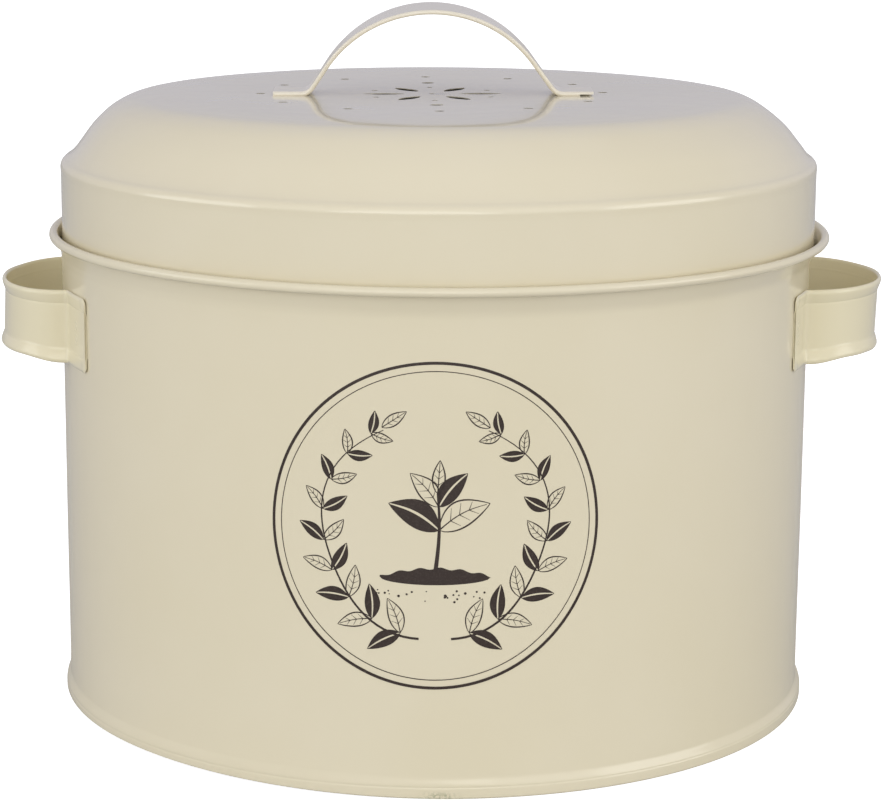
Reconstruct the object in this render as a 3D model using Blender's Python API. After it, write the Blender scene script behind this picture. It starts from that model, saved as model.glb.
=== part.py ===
"""Round kitchen compost bin of painted sheet steel, with a vented lid, a carbon filter and a lift-out bucket.

The origin is the centre of the bin's foot ring, on the surface it stands on. +Z is up, -Y is the front,
the two side handles are on the X axis, and the lid's handle runs along X. All sizes are in metres.
"""
import math

import bmesh
import bpy
from mathutils import Vector

# Sheet and clearances shared by the whole object
STEEL = 0.0005               # thickness of the painted sheet
SEAT_GAP = 0.0003            # left between two pieces that lie against each other
ROUND_STEPS = 48             # facets round a turned piece
TUBE_STEPS = 20              # facets round the bail's grip tube
CUT_MARGIN = 0.0010          # how far a cutter runs past the sheet that it cuts

# Bin body
BODY_RADIUS = 0.120          # outside of the drum
FLARE_START = 0.1438         # height where the drum starts to widen into its collar
FLARE_EASE = 0.0010          # height over which the drum bends into the collar
RIM_OVERHANG = 0.0036        # how far the rolled rim's centre circle stands out from the drum
RIM_HEIGHT = 0.1508          # height of that circle
RIM_ROLL = 0.0014            # outside radius of the roll

# Foot and base
FOOT_SPREAD = 0.0016         # how far the foot stands out from the drum
FOOT_FLARE_START = 0.0098    # height where the drum starts to widen into its foot
FOOT_WIDEST = 0.0030         # height where the foot has its full width
FOOT_FOLD = 0.00055          # bend radius where the foot is folded in under the base's edge
HOOK_TOP = 0.0032            # height of the folded-in edge
PAN_RAISE = 0.0040           # underside of the base above the surface the bin stands on
PAN_CORNER = 0.0012          # rounding where the base turns down into the foot

# Side handles
HANDLE_STAND = 0.0224        # how far a side handle stands out from the drum
HANDLE_HALF_SPAN = 0.0345    # half the distance between the two ends of the loop
HANDLE_HEIGHT = 0.0226       # height of the strap
HANDLE_UNDER_COLLAR = 0.0065 # left between the strap's top edge and the start of the collar
HANDLE_FOOT_ANGLE = 25.2     # degrees from the side to the end of each foot
HANDLE_BEND = 0.0022         # bend radius between foot and loop
HANDLE_LIFT = 0.0002         # extra distance from the drum where the foot turns into the loop
HANDLE_EDGE = 0.0006         # rounding of the strap's edges
HANDLE_HEM = 0.0017          # thickness of the hemmed edges
HANDLE_HEM_HEIGHT = 0.0042   # height of each hem

# Lid
LID_TOP = 0.1942             # height of the flat top
LID_SLOPE_WIDTH = 0.0306     # width of the curved slope outside the flat top
LID_SKIRT_SPREAD = 0.0006    # how far the skirt stands out over the drum, so that it rests in the collar
LID_SHOULDER_STAND = 0.0003  # how far the bead at the shoulder stands out from the skirt
LID_SHOULDER_HEIGHT = 0.1726 # height of that bead's widest place
LID_SHOULDER_ROLL = 0.0030   # radius of the bead
LID_SHOULDER_STEP = 0.0043   # how far the foot of the slope lies inside the bead
LID_SLOPE_FOOT_HEIGHT = 0.1768
LID_SLOPE_END = 80.0         # degrees from level at the foot of the slope

# Vents in the lid's flat top
PETAL_COUNT = 6
PETAL_INNER = 0.0085
PETAL_OUTER = 0.0224
PETAL_WIDTH = 0.0045
PETAL_BLUNTNESS = 0.7        # 1 gives sharp points, less gives blunter ones
INNER_HOLE_CIRCLE = 0.0207
INNER_HOLE_RADIUS = 0.0010
CENTRE_HOLE_RADIUS = 0.0010
OUTER_HOLE_COUNT = 12
OUTER_HOLE_CIRCLE = 0.0552
OUTER_HOLE_RADIUS = 0.0015

# Lid handle
GRIP_FOOT_END = 0.0507       # end of each foot from the middle
GRIP_FOOT_START = 0.0392     # where the arch leaves the foot
GRIP_RISE = 0.0279           # outside of the arch above the lid's flat top
GRIP_ARC_RADIUS = 0.0406     # outside radius of the arch
GRIP_ARC_ANGLE = 57.0        # degrees from the top of the arch to its straight legs
GRIP_BEND = 0.0020           # length of the bend between leg and foot
GRIP_CROWN_WIDTH = 0.0385    # the strap is widest at the top of its arch
GRIP_FOOT_WIDTH = 0.0175
GRIP_HEM = 0.0014            # thickness of the folded edges
GRIP_SHEET = 0.0005

# Carbon filter and its holder
FILTER_RADIUS = 0.0617
FILTER_THICKNESS = 0.0060
FILTER_EDGE = 0.0008         # rounding of the pad's edges
HOLDER_WALL = 0.0016
HOLDER_SLOT_COUNT = 12
HOLDER_SLOT_WIDTH = 0.0038
HOLDER_SLOT_INNER = 0.0150
HOLDER_SLOT_OUTER = 0.0550
POST_CIRCLE = 0.0354         # distance of the two snap posts from the middle
POST_RADIUS = 0.0017
POST_CLEARANCE = 0.0003
POST_STAND = 0.0002          # end of a post above the lid

# Bucket
BUCKET_RIM_HEIGHT = 0.1460
BUCKET_SPACE = 0.0030        # left between the lip and the inside of the drum
BUCKET_LIP_REACH = 0.0030    # how far the lip stands out from the wall under it
BUCKET_TAPER = 0.0065        # how much smaller the foot's radius is than the top's
BUCKET_WALL = 0.0020
BUCKET_LIP_HEIGHT = 0.0045
BUCKET_LIP_DROP = 0.0020     # how far the lip's edge hangs below its underside
BUCKET_LIP_WALL = 0.0015     # thickness of that edge
BUCKET_EDGE = 0.0008         # rounding of the lip
BUCKET_CORNER = 0.0080
EAR_WIDTH = 0.0160
EAR_THICKNESS = 0.0040
EAR_DEPTH = 0.0120           # how far an ear reaches down inside the bucket
EAR_RISE = 0.0075            # how far it stands above the lip
EAR_ROOT = 0.0002            # how far an ear is sunk into the wall that it is moulded on

# Bail and its grip
BAIL_WIRE = 0.0015           # radius of the wire
BAIL_STRAIGHT = 0.0450       # half length of the straight part
BAIL_BEND = 0.0022           # bend radius where the wire turns into an ear
BAIL_PIVOT_CLEARANCE = 0.00025
BAIL_HEAD = 0.0026           # radius of the upset ends inside the ears
BAIL_HEAD_LENGTH = 0.0018
TUBE_RADIUS = 0.0045         # outside of the grip tube
TUBE_HALF_LENGTH = 0.0400
TUBE_EDGE = 0.0008           # rounding of the tube's ends
TUBE_CLEARANCE = 0.0003
TUBE_SPACE = 0.0033          # left between the tube's ends and the bucket's wall

# Places worked out from the sizes above
WALL_LINE = BODY_RADIUS - STEEL / 2
RIM_RADIUS = BODY_RADIUS + RIM_OVERHANG
FOOT_LINE = BODY_RADIUS + FOOT_SPREAD - STEEL / 2
HANDLE_REACH = BODY_RADIUS + HANDLE_STAND
HANDLE_MIDDLE = FLARE_START - FLARE_EASE - HANDLE_UNDER_COLLAR - HANDLE_HEIGHT / 2
FLANGE_LINE = FOOT_LINE - STEEL - SEAT_GAP
HOOK_LINE = FLANGE_LINE - STEEL - SEAT_GAP
PAN_TOP = PAN_RAISE + STEEL
LID_SKIRT_RADIUS = BODY_RADIUS + LID_SKIRT_SPREAD
LID_SHOULDER_RADIUS = LID_SKIRT_RADIUS + LID_SHOULDER_STAND
LID_SLOPE_FOOT_RADIUS = LID_SHOULDER_RADIUS - LID_SHOULDER_STEP
LID_FLAT_RADIUS = LID_SLOPE_FOOT_RADIUS - LID_SLOPE_WIDTH
LID_UNDER = LID_TOP - STEEL
FILTER_TOP = LID_UNDER - SEAT_GAP
HOLDER_FLOOR_TOP = FILTER_TOP - FILTER_THICKNESS - SEAT_GAP
HOLDER_INNER = FILTER_RADIUS + SEAT_GAP
POST_HOLE_RADIUS = POST_RADIUS + POST_CLEARANCE
BUCKET_FLOOR = PAN_TOP + SEAT_GAP
BUCKET_RIM_RADIUS = BODY_RADIUS - STEEL - BUCKET_SPACE
BUCKET_TOP_RADIUS = BUCKET_RIM_RADIUS - BUCKET_LIP_REACH
BUCKET_FOOT_RADIUS = BUCKET_TOP_RADIUS - BUCKET_TAPER
BUCKET_INNER_TOP = BUCKET_TOP_RADIUS - BUCKET_WALL
EAR_OUTER = BUCKET_INNER_TOP + EAR_ROOT
EAR_INNER = EAR_OUTER - EAR_THICKNESS
BAIL_AXIS_HEIGHT = BUCKET_RIM_HEIGHT + SEAT_GAP + BAIL_WIRE
BAIL_SIDE = EAR_OUTER + BAIL_BEND
BAIL_REACH = math.sqrt((BUCKET_INNER_TOP - TUBE_SPACE) ** 2 - TUBE_HALF_LENGTH ** 2) - TUBE_RADIUS


def clear_scene():
    for old in list(bpy.data.objects):
        bpy.data.objects.remove(old, do_unlink=True)


def make_material(name, colour, roughness, metallic=0.0, coat=0.0):
    """A plain Principled material."""
    material = bpy.data.materials.new(name)
    material.use_nodes = True
    shader = material.node_tree.nodes["Principled BSDF"]
    shader.inputs["Base Color"].default_value = (*colour, 1.0)
    shader.inputs["Roughness"].default_value = roughness
    shader.inputs["Metallic"].default_value = metallic
    shader.inputs["Coat Weight"].default_value = coat
    return material


def add_object(name, bm, material, pivot=(0.0, 0.0, 0.0)):
    """Turns a bmesh in world places into an object whose origin is its pivot."""
    bmesh.ops.recalc_face_normals(bm, faces=bm.faces)
    bmesh.ops.translate(bm, verts=bm.verts, vec=-Vector(pivot))
    mesh = bpy.data.meshes.new(name)
    bm.to_mesh(mesh)
    bm.free()
    mesh.shade_smooth()
    mesh.set_sharp_from_angle(angle=math.radians(35))
    mesh.materials.append(material)
    obj = bpy.data.objects.new(name, mesh)
    obj.location = pivot
    bpy.context.collection.objects.link(obj)
    return obj


def add_cutter(name, bm, material, pivot=(0.0, 0.0, 0.0)):
    """A helper solid for a Boolean, which is not a piece of the object."""
    cutter = add_object(name, bm, material, pivot)
    cutter.hide_render = True
    cutter.display_type = "WIRE"
    return cutter


def combine(target, helper, operation):
    modifier = target.modifiers.new(helper.name, "BOOLEAN")
    modifier.operation = operation
    modifier.object = helper
    modifier.solver = "EXACT"


def arc(centre, radius, start, end, steps):
    """Points on an arc in a plane, angles in degrees from the first axis."""
    points = []
    for i in range(steps + 1):
        angle = math.radians(start + (end - start) * i / steps)
        points.append((centre[0] + radius * math.cos(angle), centre[1] + radius * math.sin(angle)))
    return points


def sheet_section(path, thickness):
    """Closed section of a bent sheet whose middle follows the path."""
    left, right = [], []
    count = len(path)
    for i, point in enumerate(path):
        before = Vector(path[max(i - 1, 0)])
        after = Vector(path[min(i + 1, count - 1)])
        here = Vector(point)
        incoming = (here - before).normalized() if i else (after - here).normalized()
        outgoing = (after - here).normalized() if i < count - 1 else incoming
        normal_in = Vector((-incoming.y, incoming.x))
        normal_out = Vector((-outgoing.y, outgoing.x))
        middle = (normal_in + normal_out).normalized()
        reach = thickness / 2 / max(middle.dot(normal_in), 0.5)
        left.append(tuple(here + middle * reach))
        right.append(tuple(here - middle * reach))
    return left + right[::-1]


def turn(section, steps=ROUND_STEPS):
    """Turns a closed section of (radius, height) round the Z axis."""
    bm = bmesh.new()
    rings = []
    for radius, height in section:
        if radius < 1e-7:
            rings.append([bm.verts.new((0.0, 0.0, height))])
            continue
        ring = []
        for k in range(steps):
            angle = 2 * math.pi * k / steps
            ring.append(bm.verts.new((radius * math.cos(angle), radius * math.sin(angle), height)))
        rings.append(ring)
    for a, b in zip(rings, rings[1:] + rings[:1]):
        for k in range(steps):
            n = (k + 1) % steps
            if len(a) == 1 and len(b) == 1:
                break
            if len(a) == 1:
                bm.faces.new((a[0], b[k], b[n]))
            elif len(b) == 1:
                bm.faces.new((a[k], b[0], a[n]))
            else:
                bm.faces.new((a[k], b[k], b[n], a[n]))
    return bm


def skin(rings):
    """Closes a row of equal rings of points into one solid with capped ends."""
    bm = bmesh.new()
    made = [[bm.verts.new(point) for point in ring] for ring in rings]
    count = len(made[0])
    for a, b in zip(made, made[1:]):
        for k in range(count):
            n = (k + 1) % count
            bm.faces.new((a[k], b[k], b[n], a[n]))
    bm.faces.new(made[0])
    bm.faces.new(made[-1][::-1])
    bmesh.ops.triangulate(bm, faces=[f for f in bm.faces if len(f.verts) > 4])
    return bm


def prism(bm, outline, low, high):
    """Adds an upright prism over an outline in the XY plane."""
    bottom = [bm.verts.new((x, y, low)) for x, y in outline]
    top = [bm.verts.new((x, y, high)) for x, y in outline]
    count = len(outline)
    for k in range(count):
        n = (k + 1) % count
        bm.faces.new((bottom[k], bottom[n], top[n], top[k]))
    bm.faces.new(bottom[::-1])
    bm.faces.new(top)


def polar(radius, degrees):
    angle = math.radians(degrees)
    return (radius * math.cos(angle), radius * math.sin(angle))


def rotated(points, degrees):
    cos, sin = polar(1.0, degrees)
    return [(x * cos - y * sin, x * sin + y * cos) for x, y in points]


def petal_outline(inner, outer, width, degrees, steps=6):
    """Leaf shape with two blunt points, lying along a radius."""
    points = []
    for side in (-1, 1):
        for i in range(steps):
            t = i / steps
            half = width / 2 * math.sin(math.pi * t) ** PETAL_BLUNTNESS
            along = t if side < 0 else 1.0 - t
            points.append((inner + (outer - inner) * along, side * half))
    return rotated(points, degrees)


def slot_outline(inner, outer, width, degrees, steps=4):
    """Slot with round ends, lying along a radius."""
    half = width / 2
    points = arc((outer - half, 0.0), half, -90, 90, steps)
    points += arc((inner + half, 0.0), half, 90, 270, steps)
    return rotated(points, degrees)


def flare_line():
    """Slope of the collar from the vertical, and where it runs into the rolled rim."""
    roll = RIM_ROLL - STEEL / 2
    across = RIM_RADIUS - WALL_LINE
    up = RIM_HEIGHT - FLARE_START
    distance = math.hypot(across, up)
    slope = math.atan2(across, up) - math.asin(roll / distance)
    return slope, roll


FLARE_SLOPE, RIM_ROLL_LINE = flare_line()
FLARE_INNER = BODY_RADIUS - STEEL
LID_SEAT = FLARE_START + (LID_SKIRT_RADIUS + SEAT_GAP - FLARE_INNER) / math.tan(FLARE_SLOPE)


def make_body_wall(paint):
    """Drum with its flared, folded-in foot and its collar rolled over into the rim."""
    fold_height = FOOT_FOLD + STEEL / 2
    path = [(HOOK_LINE, HOOK_TOP)]
    path += arc((HOOK_LINE + FOOT_FOLD, fold_height), FOOT_FOLD, 180, 270, 2)
    path += arc((FOOT_LINE - FOOT_FOLD, fold_height), FOOT_FOLD, 270, 360, 2)
    flare_steps = 5
    for i in range(flare_steps + 1):
        share = i / flare_steps
        height = FOOT_WIDEST + (FOOT_FLARE_START - FOOT_WIDEST) * share
        path.append((WALL_LINE + (FOOT_LINE - WALL_LINE) * (0.5 + 0.5 * math.cos(math.pi * share)), height))
    path += [(WALL_LINE, FLARE_START - FLARE_EASE), (WALL_LINE + FLARE_EASE / 10, FLARE_START)]
    start = 180.0 - math.degrees(FLARE_SLOPE)
    path += arc((RIM_RADIUS, RIM_HEIGHT), RIM_ROLL_LINE, start, -120, 10)
    return add_object("body_wall", turn(sheet_section(path, STEEL)), paint)


def make_base_pan(paint):
    """Raised base whose turned-down edge is held in the fold of the drum's foot."""
    middle = PAN_RAISE + STEEL / 2
    path = [(0.0, middle), (FLANGE_LINE - PAN_CORNER, middle)]
    path += arc((FLANGE_LINE - PAN_CORNER, middle - PAN_CORNER), PAN_CORNER, 60, 0, 2)
    path += [(FLANGE_LINE, STEEL + SEAT_GAP)]
    return add_object("base_pan", turn(sheet_section(path, STEEL)), paint)


def handle_plan():
    """Half of a side handle seen from above, from the foot's end to the middle of the loop.

    Points are the strap's inner face: (x, y, share of the hem's full thickness, share of the full height).
    """
    face = BODY_RADIUS + SEAT_GAP
    corner_angle = math.degrees(math.asin(HANDLE_HALF_SPAN / face))
    bend_angle = math.degrees((HANDLE_BEND * 1.3) / face)
    points = []
    foot_steps = 6
    for i in range(foot_steps + 1):
        t = i / foot_steps
        angle = HANDLE_FOOT_ANGLE + (corner_angle + bend_angle - HANDLE_FOOT_ANGLE) * t
        height = (0.80, 0.93, 1.0)[min(i, 2)]
        points.append((*polar(face, angle), 0.35 + 0.3 * t, height))
    bend_x = face * math.cos(math.radians(corner_angle))
    centre = (bend_x + HANDLE_BEND + HANDLE_LIFT, HANDLE_HALF_SPAN + HANDLE_BEND)
    bend = arc(centre, HANDLE_BEND, 195, 270, 4)
    points += [(x, y, 0.8, 1.0) for x, y in bend]
    loop_start = bend[-1][0] + HANDLE_LIFT
    loop_steps = 12
    for i in range(1, loop_steps + 1):
        angle = math.radians(90 * (1 - i / loop_steps))
        x = loop_start + (HANDLE_REACH - HANDLE_HEM - loop_start) * math.cos(angle)
        points.append((x, HANDLE_HALF_SPAN * math.sin(angle), 1.0, 1.0))
    return points


def handle_section(hem_share, height_share):
    """Section of the strap: (distance out from its inner face, height from its middle)."""
    half = HANDLE_HEIGHT / 2 * height_share
    bulge = STEEL + (HANDLE_HEM - STEEL) * hem_share
    upper = [(0.0, half - HANDLE_EDGE), (bulge * 0.45, half), (bulge * 0.9, half - HANDLE_EDGE)]
    upper += [(bulge, half - HANDLE_HEM_HEIGHT * 0.35), (STEEL, half - HANDLE_HEM_HEIGHT)]
    lower = [(out, -height) for out, height in upper[::-1]]
    return upper + lower


def make_side_handle(name, side, paint):
    """Bent strap with hemmed edges, whose feet are spot-welded to the drum."""
    half = handle_plan()
    plan = half + [(x, -y, hem, height) for x, y, hem, height in half[-2::-1]]
    rings = []
    for i, (x, y, hem, height) in enumerate(plan):
        before = plan[max(i - 1, 0)]
        after = plan[min(i + 1, len(plan) - 1)]
        along = Vector((after[0] - before[0], after[1] - before[1], 0.0)).normalized()
        out = Vector((-along.y, along.x, 0.0))
        ring = []
        for distance, rise in handle_section(hem, height):
            place = Vector((x, y, HANDLE_MIDDLE + rise)) + out * distance
            ring.append((place.x * side, place.y, place.z))
        rings.append(ring)
    return add_object(name, skin(rings), paint)


def make_lid_shell(paint, hidden):
    """Pressed lid: flat top, rounded shoulder with a bead, and the skirt that drops into the collar."""
    half = STEEL / 2
    slope_down = LID_TOP - LID_SLOPE_FOOT_HEIGHT
    end = math.radians(LID_SLOPE_END)
    slope = []
    slope_steps = 9
    for i in range(1, slope_steps + 1):
        angle = end * i / slope_steps
        reach = LID_SLOPE_WIDTH * math.sin(angle) / math.sin(end)
        drop = slope_down * (1 - math.cos(angle)) / (1 - math.cos(end))
        slope.append((LID_FLAT_RADIUS + reach - half, LID_TOP - half - drop))
    roll = LID_SHOULDER_ROLL - half
    bead = arc((LID_SHOULDER_RADIUS - LID_SHOULDER_ROLL, LID_SHOULDER_HEIGHT), roll, 70, 0, 4)
    skirt_line = LID_SKIRT_RADIUS - half
    skirt = [(skirt_line, LID_SHOULDER_HEIGHT - LID_SHOULDER_ROLL), (skirt_line, LID_SEAT)]
    path = [(0.0, LID_TOP - half), (LID_FLAT_RADIUS - half, LID_TOP - half)] + slope + bead + skirt
    lid = add_object("lid_shell", turn(sheet_section(path, STEEL)), paint)

    vents = bmesh.new()
    low, high = LID_UNDER - CUT_MARGIN, LID_TOP + CUT_MARGIN
    for k in range(PETAL_COUNT):
        angle = 360.0 * k / PETAL_COUNT
        prism(vents, petal_outline(PETAL_INNER, PETAL_OUTER, PETAL_WIDTH, angle), low, high)
        between = polar(INNER_HOLE_CIRCLE, angle + 180.0 / PETAL_COUNT)
        prism(vents, arc(between, INNER_HOLE_RADIUS, 0, 315, 7), low, high)
    for k in range(OUTER_HOLE_COUNT):
        centre = polar(OUTER_HOLE_CIRCLE, 360.0 * k / OUTER_HOLE_COUNT)
        prism(vents, arc(centre, OUTER_HOLE_RADIUS, 0, 315, 7), low, high)
    for angle in (90, 270):
        prism(vents, arc(polar(POST_CIRCLE, angle), POST_HOLE_RADIUS, 0, 330, 11), low, high)
    prism(vents, arc((0.0, 0.0), CENTRE_HOLE_RADIUS, 0, 315, 7), low, high)
    combine(lid, add_cutter("cutter_lid_vents", vents, hidden), "DIFFERENCE")
    return lid


def grip_path():
    """Half of the lid handle's outer face in the XZ plane, from the top of the arch to the foot's end."""
    foot_height = LID_TOP + SEAT_GAP + GRIP_HEM
    apex = LID_TOP + GRIP_RISE
    centre = (0.0, apex - GRIP_ARC_RADIUS)
    points = arc(centre, GRIP_ARC_RADIUS, 90, 90 - GRIP_ARC_ANGLE, 12)
    knee = Vector((GRIP_FOOT_START, foot_height))
    leg = (Vector(points[-1]) - knee).normalized() * GRIP_BEND
    along = Vector((GRIP_BEND, 0.0))
    points += [tuple(knee + leg), tuple(knee + (leg + along) * 0.3), tuple(knee + along)]
    points += [(GRIP_FOOT_END, foot_height)]
    return points


def grip_widths(points):
    """Width of the strap at each point of its half path, least from the start of the flat foot on."""
    travelled = [0.0]
    for before, after in zip(points, points[1:]):
        travelled.append(travelled[-1] + (Vector(after) - Vector(before)).length)
    taper = GRIP_CROWN_WIDTH - GRIP_FOOT_WIDTH
    return [GRIP_CROWN_WIDTH - taper * min(way / travelled[-2], 1.0) ** 2 for way in travelled]


def grip_section(width):
    """Section across the strap: (place across, depth under its outer face), edges folded under."""
    half = width / 2
    roll = GRIP_HEM / 2
    edge = [(half - roll, 0.0), (half - roll * 0.3, GRIP_HEM * 0.15), (half, GRIP_HEM * 0.5)]
    edge += [(half - roll * 0.3, GRIP_HEM * 0.85), (half - roll, GRIP_HEM)]
    edge += [(half - roll * 1.8, GRIP_HEM * 0.8), (half - roll * 2.3, GRIP_SHEET)]
    return edge + [(-across, depth) for across, depth in edge[::-1]]


def make_lid_handle(paint):
    """Arched strap with folded edges, broadest at its top, whose two feet are spot-welded to the lid."""
    half = grip_path()
    path = [(-x, z) for x, z in half[::-1]] + half[1:]
    half_widths = grip_widths(half)
    widths = half_widths[::-1] + half_widths[1:]
    rings = []
    for i, (x, z) in enumerate(path):
        before = Vector(path[max(i - 1, 0)])
        here = Vector((x, z))
        after = Vector(path[min(i + 1, len(path) - 1)])
        along = (after - before).normalized()
        down = Vector((along.y, -along.x))
        if 0 < i < len(path) - 1:
            first = (here - before).normalized()
            down = down / max(down.dot(Vector((first.y, -first.x))), 0.7)
        ring = []
        for across, depth in grip_section(widths[i]):
            place = here + down * depth
            ring.append((place.x, across, place.y))
        rings.append(ring)
    return add_object("lid_handle", skin(rings), paint)


def make_filter_holder(plastic, hidden):
    """Slotted dish that carries the filter and snaps to the lid with two posts."""
    floor_low = HOLDER_FLOOR_TOP - HOLDER_WALL
    outer = HOLDER_INNER + HOLDER_WALL
    section = [(0.0, HOLDER_FLOOR_TOP), (0.0, floor_low)]
    section += [(outer - HOLDER_WALL, floor_low), (outer, HOLDER_FLOOR_TOP)]
    section += [(outer, FILTER_TOP), (HOLDER_INNER, FILTER_TOP), (HOLDER_INNER, HOLDER_FLOOR_TOP)]
    holder = add_object("filter_holder", turn(section), plastic)
    posts = bmesh.new()
    for angle in (90, 270):
        outline = arc(polar(POST_CIRCLE, angle), POST_RADIUS, 0, 330, 11)
        prism(posts, outline, HOLDER_FLOOR_TOP - HOLDER_WALL / 2, LID_TOP + POST_STAND)
    combine(holder, add_cutter("helper_posts", posts, hidden), "UNION")
    slots = bmesh.new()
    for k in range(HOLDER_SLOT_COUNT):
        angle = 360.0 * (k + 0.5) / HOLDER_SLOT_COUNT
        outline = slot_outline(HOLDER_SLOT_INNER, HOLDER_SLOT_OUTER, HOLDER_SLOT_WIDTH, angle)
        prism(slots, outline, floor_low - CUT_MARGIN, HOLDER_FLOOR_TOP + CUT_MARGIN)
    combine(holder, add_cutter("cutter_holder_slots", slots, hidden), "DIFFERENCE")
    return holder


def make_carbon_filter(felt, hidden):
    """Round pad with two holes for the holder's posts."""
    low = FILTER_TOP - FILTER_THICKNESS
    inside = FILTER_RADIUS - FILTER_EDGE
    section = [(0.0, FILTER_TOP), (0.0, low), (inside, low), (FILTER_RADIUS, low + FILTER_EDGE)]
    section += [(FILTER_RADIUS, FILTER_TOP - FILTER_EDGE), (inside, FILTER_TOP)]
    pad = add_object("carbon_filter", turn(section), felt)
    holes = bmesh.new()
    for angle in (90, 270):
        outline = arc(polar(POST_CIRCLE, angle), POST_HOLE_RADIUS, 0, 330, 11)
        prism(holes, outline, low - CUT_MARGIN, FILTER_TOP + CUT_MARGIN)
    combine(pad, add_cutter("cutter_filter_holes", holes, hidden), "DIFFERENCE")
    return pad


def ear_outline():
    """Ear seen along X: (y, z), round at the top and running down inside the bucket."""
    half = EAR_WIDTH / 2
    top = BUCKET_RIM_HEIGHT + EAR_RISE
    foot = BUCKET_RIM_HEIGHT - EAR_DEPTH
    points = arc((0.0, top - half), half, 0, 180, 8)
    return points + [(-half, foot + half / 2), (-half / 2, foot), (half / 2, foot), (half, foot + half / 2)]


def make_inner_bucket(plastic, hidden):
    """Tapered bucket with an outward lip and an ear moulded on each side."""
    slope = (BUCKET_TOP_RADIUS - BUCKET_FOOT_RADIUS) / (BUCKET_RIM_HEIGHT - BUCKET_FLOOR)
    lip_low = BUCKET_RIM_HEIGHT - BUCKET_LIP_HEIGHT
    inner_floor = BUCKET_FLOOR + BUCKET_WALL
    inner_foot = BUCKET_FOOT_RADIUS - BUCKET_WALL
    section = [(0.0, inner_floor), (0.0, BUCKET_FLOOR)]
    corner = (BUCKET_FOOT_RADIUS - BUCKET_CORNER, BUCKET_FLOOR + BUCKET_CORNER)
    section += arc(corner, BUCKET_CORNER, -90, 0, 4)
    lip_under = lip_low + BUCKET_LIP_DROP
    lip_inner = BUCKET_RIM_RADIUS - BUCKET_LIP_WALL
    section += [(BUCKET_TOP_RADIUS - slope * BUCKET_LIP_HEIGHT, lip_under)]
    section += [(lip_inner, lip_under), (lip_inner, lip_low), (BUCKET_RIM_RADIUS, lip_low)]
    section += [(BUCKET_RIM_RADIUS, BUCKET_RIM_HEIGHT - BUCKET_EDGE)]
    section += [(BUCKET_RIM_RADIUS - BUCKET_EDGE, BUCKET_RIM_HEIGHT), (BUCKET_INNER_TOP, BUCKET_RIM_HEIGHT)]
    inner_corner = BUCKET_CORNER - BUCKET_WALL
    section += arc((inner_foot - inner_corner, inner_floor + inner_corner), inner_corner, 0, -90, 4)
    bucket = add_object("inner_bucket", turn(section), plastic)
    ends = (EAR_INNER - EAR_THICKNESS / 2, EAR_OUTER + EAR_THICKNESS / 2)
    hole = arc((0.0, BAIL_AXIS_HEIGHT), BAIL_WIRE + BAIL_PIVOT_CLEARANCE, 0, 330, 11)
    for side, tag in ((-1, "left"), (1, "right")):
        rings = [[(side * x, y, z) for y, z in ear_outline()] for x in (EAR_INNER, EAR_OUTER)]
        combine(bucket, add_cutter("helper_ear_" + tag, skin(rings), hidden), "UNION")
        rings = [[(side * x, y, z) for y, z in hole] for x in ends]
        combine(bucket, add_cutter("cutter_ear_" + tag, skin(rings), hidden), "DIFFERENCE")
    return bucket


def bail_half():
    """Half of the bail seen from above, from its head inside the ear to the middle: (x, y, wire radius)."""
    head_outer = EAR_INNER - SEAT_GAP
    points = [(head_outer - BAIL_HEAD_LENGTH, 0.0, BAIL_HEAD * 0.8)]
    points += [(head_outer - BAIL_HEAD_LENGTH * 0.65, 0.0, BAIL_HEAD)]
    points += [(head_outer, 0.0, BAIL_HEAD), (head_outer, 0.0, BAIL_WIRE)]
    bend = arc((BAIL_SIDE - BAIL_BEND, -BAIL_BEND), BAIL_BEND, 90, 0, 4)
    points += [(x, y, BAIL_WIRE) for x, y in bend]
    start = Vector(bend[-1])
    end = Vector((BAIL_STRAIGHT, -BAIL_REACH))
    pull_start = start + Vector((0.0, -BAIL_REACH * 0.49))
    pull_end = end + Vector(((BAIL_SIDE - BAIL_STRAIGHT) * 0.57, 0.0))
    steps = 14
    for i in range(1, steps + 1):
        t = i / steps
        s = 1 - t
        place = start * s ** 3 + pull_start * 3 * s * s * t + pull_end * 3 * s * t * t + end * t ** 3
        points.append((place.x, place.y, BAIL_WIRE))
    return points


def make_bail(steel):
    """Bent wire handle of the bucket, lying folded on the lip towards the front."""
    half = bail_half()
    path = half + [(-x, y, radius) for x, y, radius in half[::-1]]
    sides = 8
    rings = []
    for i, (x, y, radius) in enumerate(path):
        before = Vector(path[max(i - 1, 0)][:2])
        after = Vector(path[min(i + 1, len(path) - 1)][:2])
        along = (after - before).normalized()
        if abs(y) < 1e-6:
            inward = 1.0 if x < 0 else -1.0
            along = Vector((inward if i >= len(half) else -inward, 0.0))
        across = Vector((-along.y, along.x))
        ring = []
        for k in range(sides):
            angle = 2 * math.pi * (k + 0.5) / sides
            place = Vector((x, y)) + across * (radius * math.cos(angle))
            ring.append((place.x, place.y, BAIL_AXIS_HEIGHT + radius * math.sin(angle)))
        rings.append(ring)
    return add_object("bucket_bail", skin(rings), steel, (0.0, 0.0, BAIL_AXIS_HEIGHT))


def make_grip_tube(plastic):
    """Tube on the straight part of the bail, free to turn on the wire."""
    inner = BAIL_WIRE + TUBE_CLEARANCE
    end = TUBE_HALF_LENGTH
    section = [(inner, -end), (TUBE_RADIUS - TUBE_EDGE, -end), (TUBE_RADIUS, -end + TUBE_EDGE)]
    section += [(TUBE_RADIUS, end - TUBE_EDGE), (TUBE_RADIUS - TUBE_EDGE, end), (inner, end)]
    bm = turn(section, TUBE_STEPS)
    for vert in bm.verts:
        radial_x, radial_y, along = vert.co
        vert.co = (along, -BAIL_REACH + radial_x, BAIL_AXIS_HEIGHT + radial_y)
    return add_object("bail_grip", bm, plastic, (0.0, -BAIL_REACH, BAIL_AXIS_HEIGHT))


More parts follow.
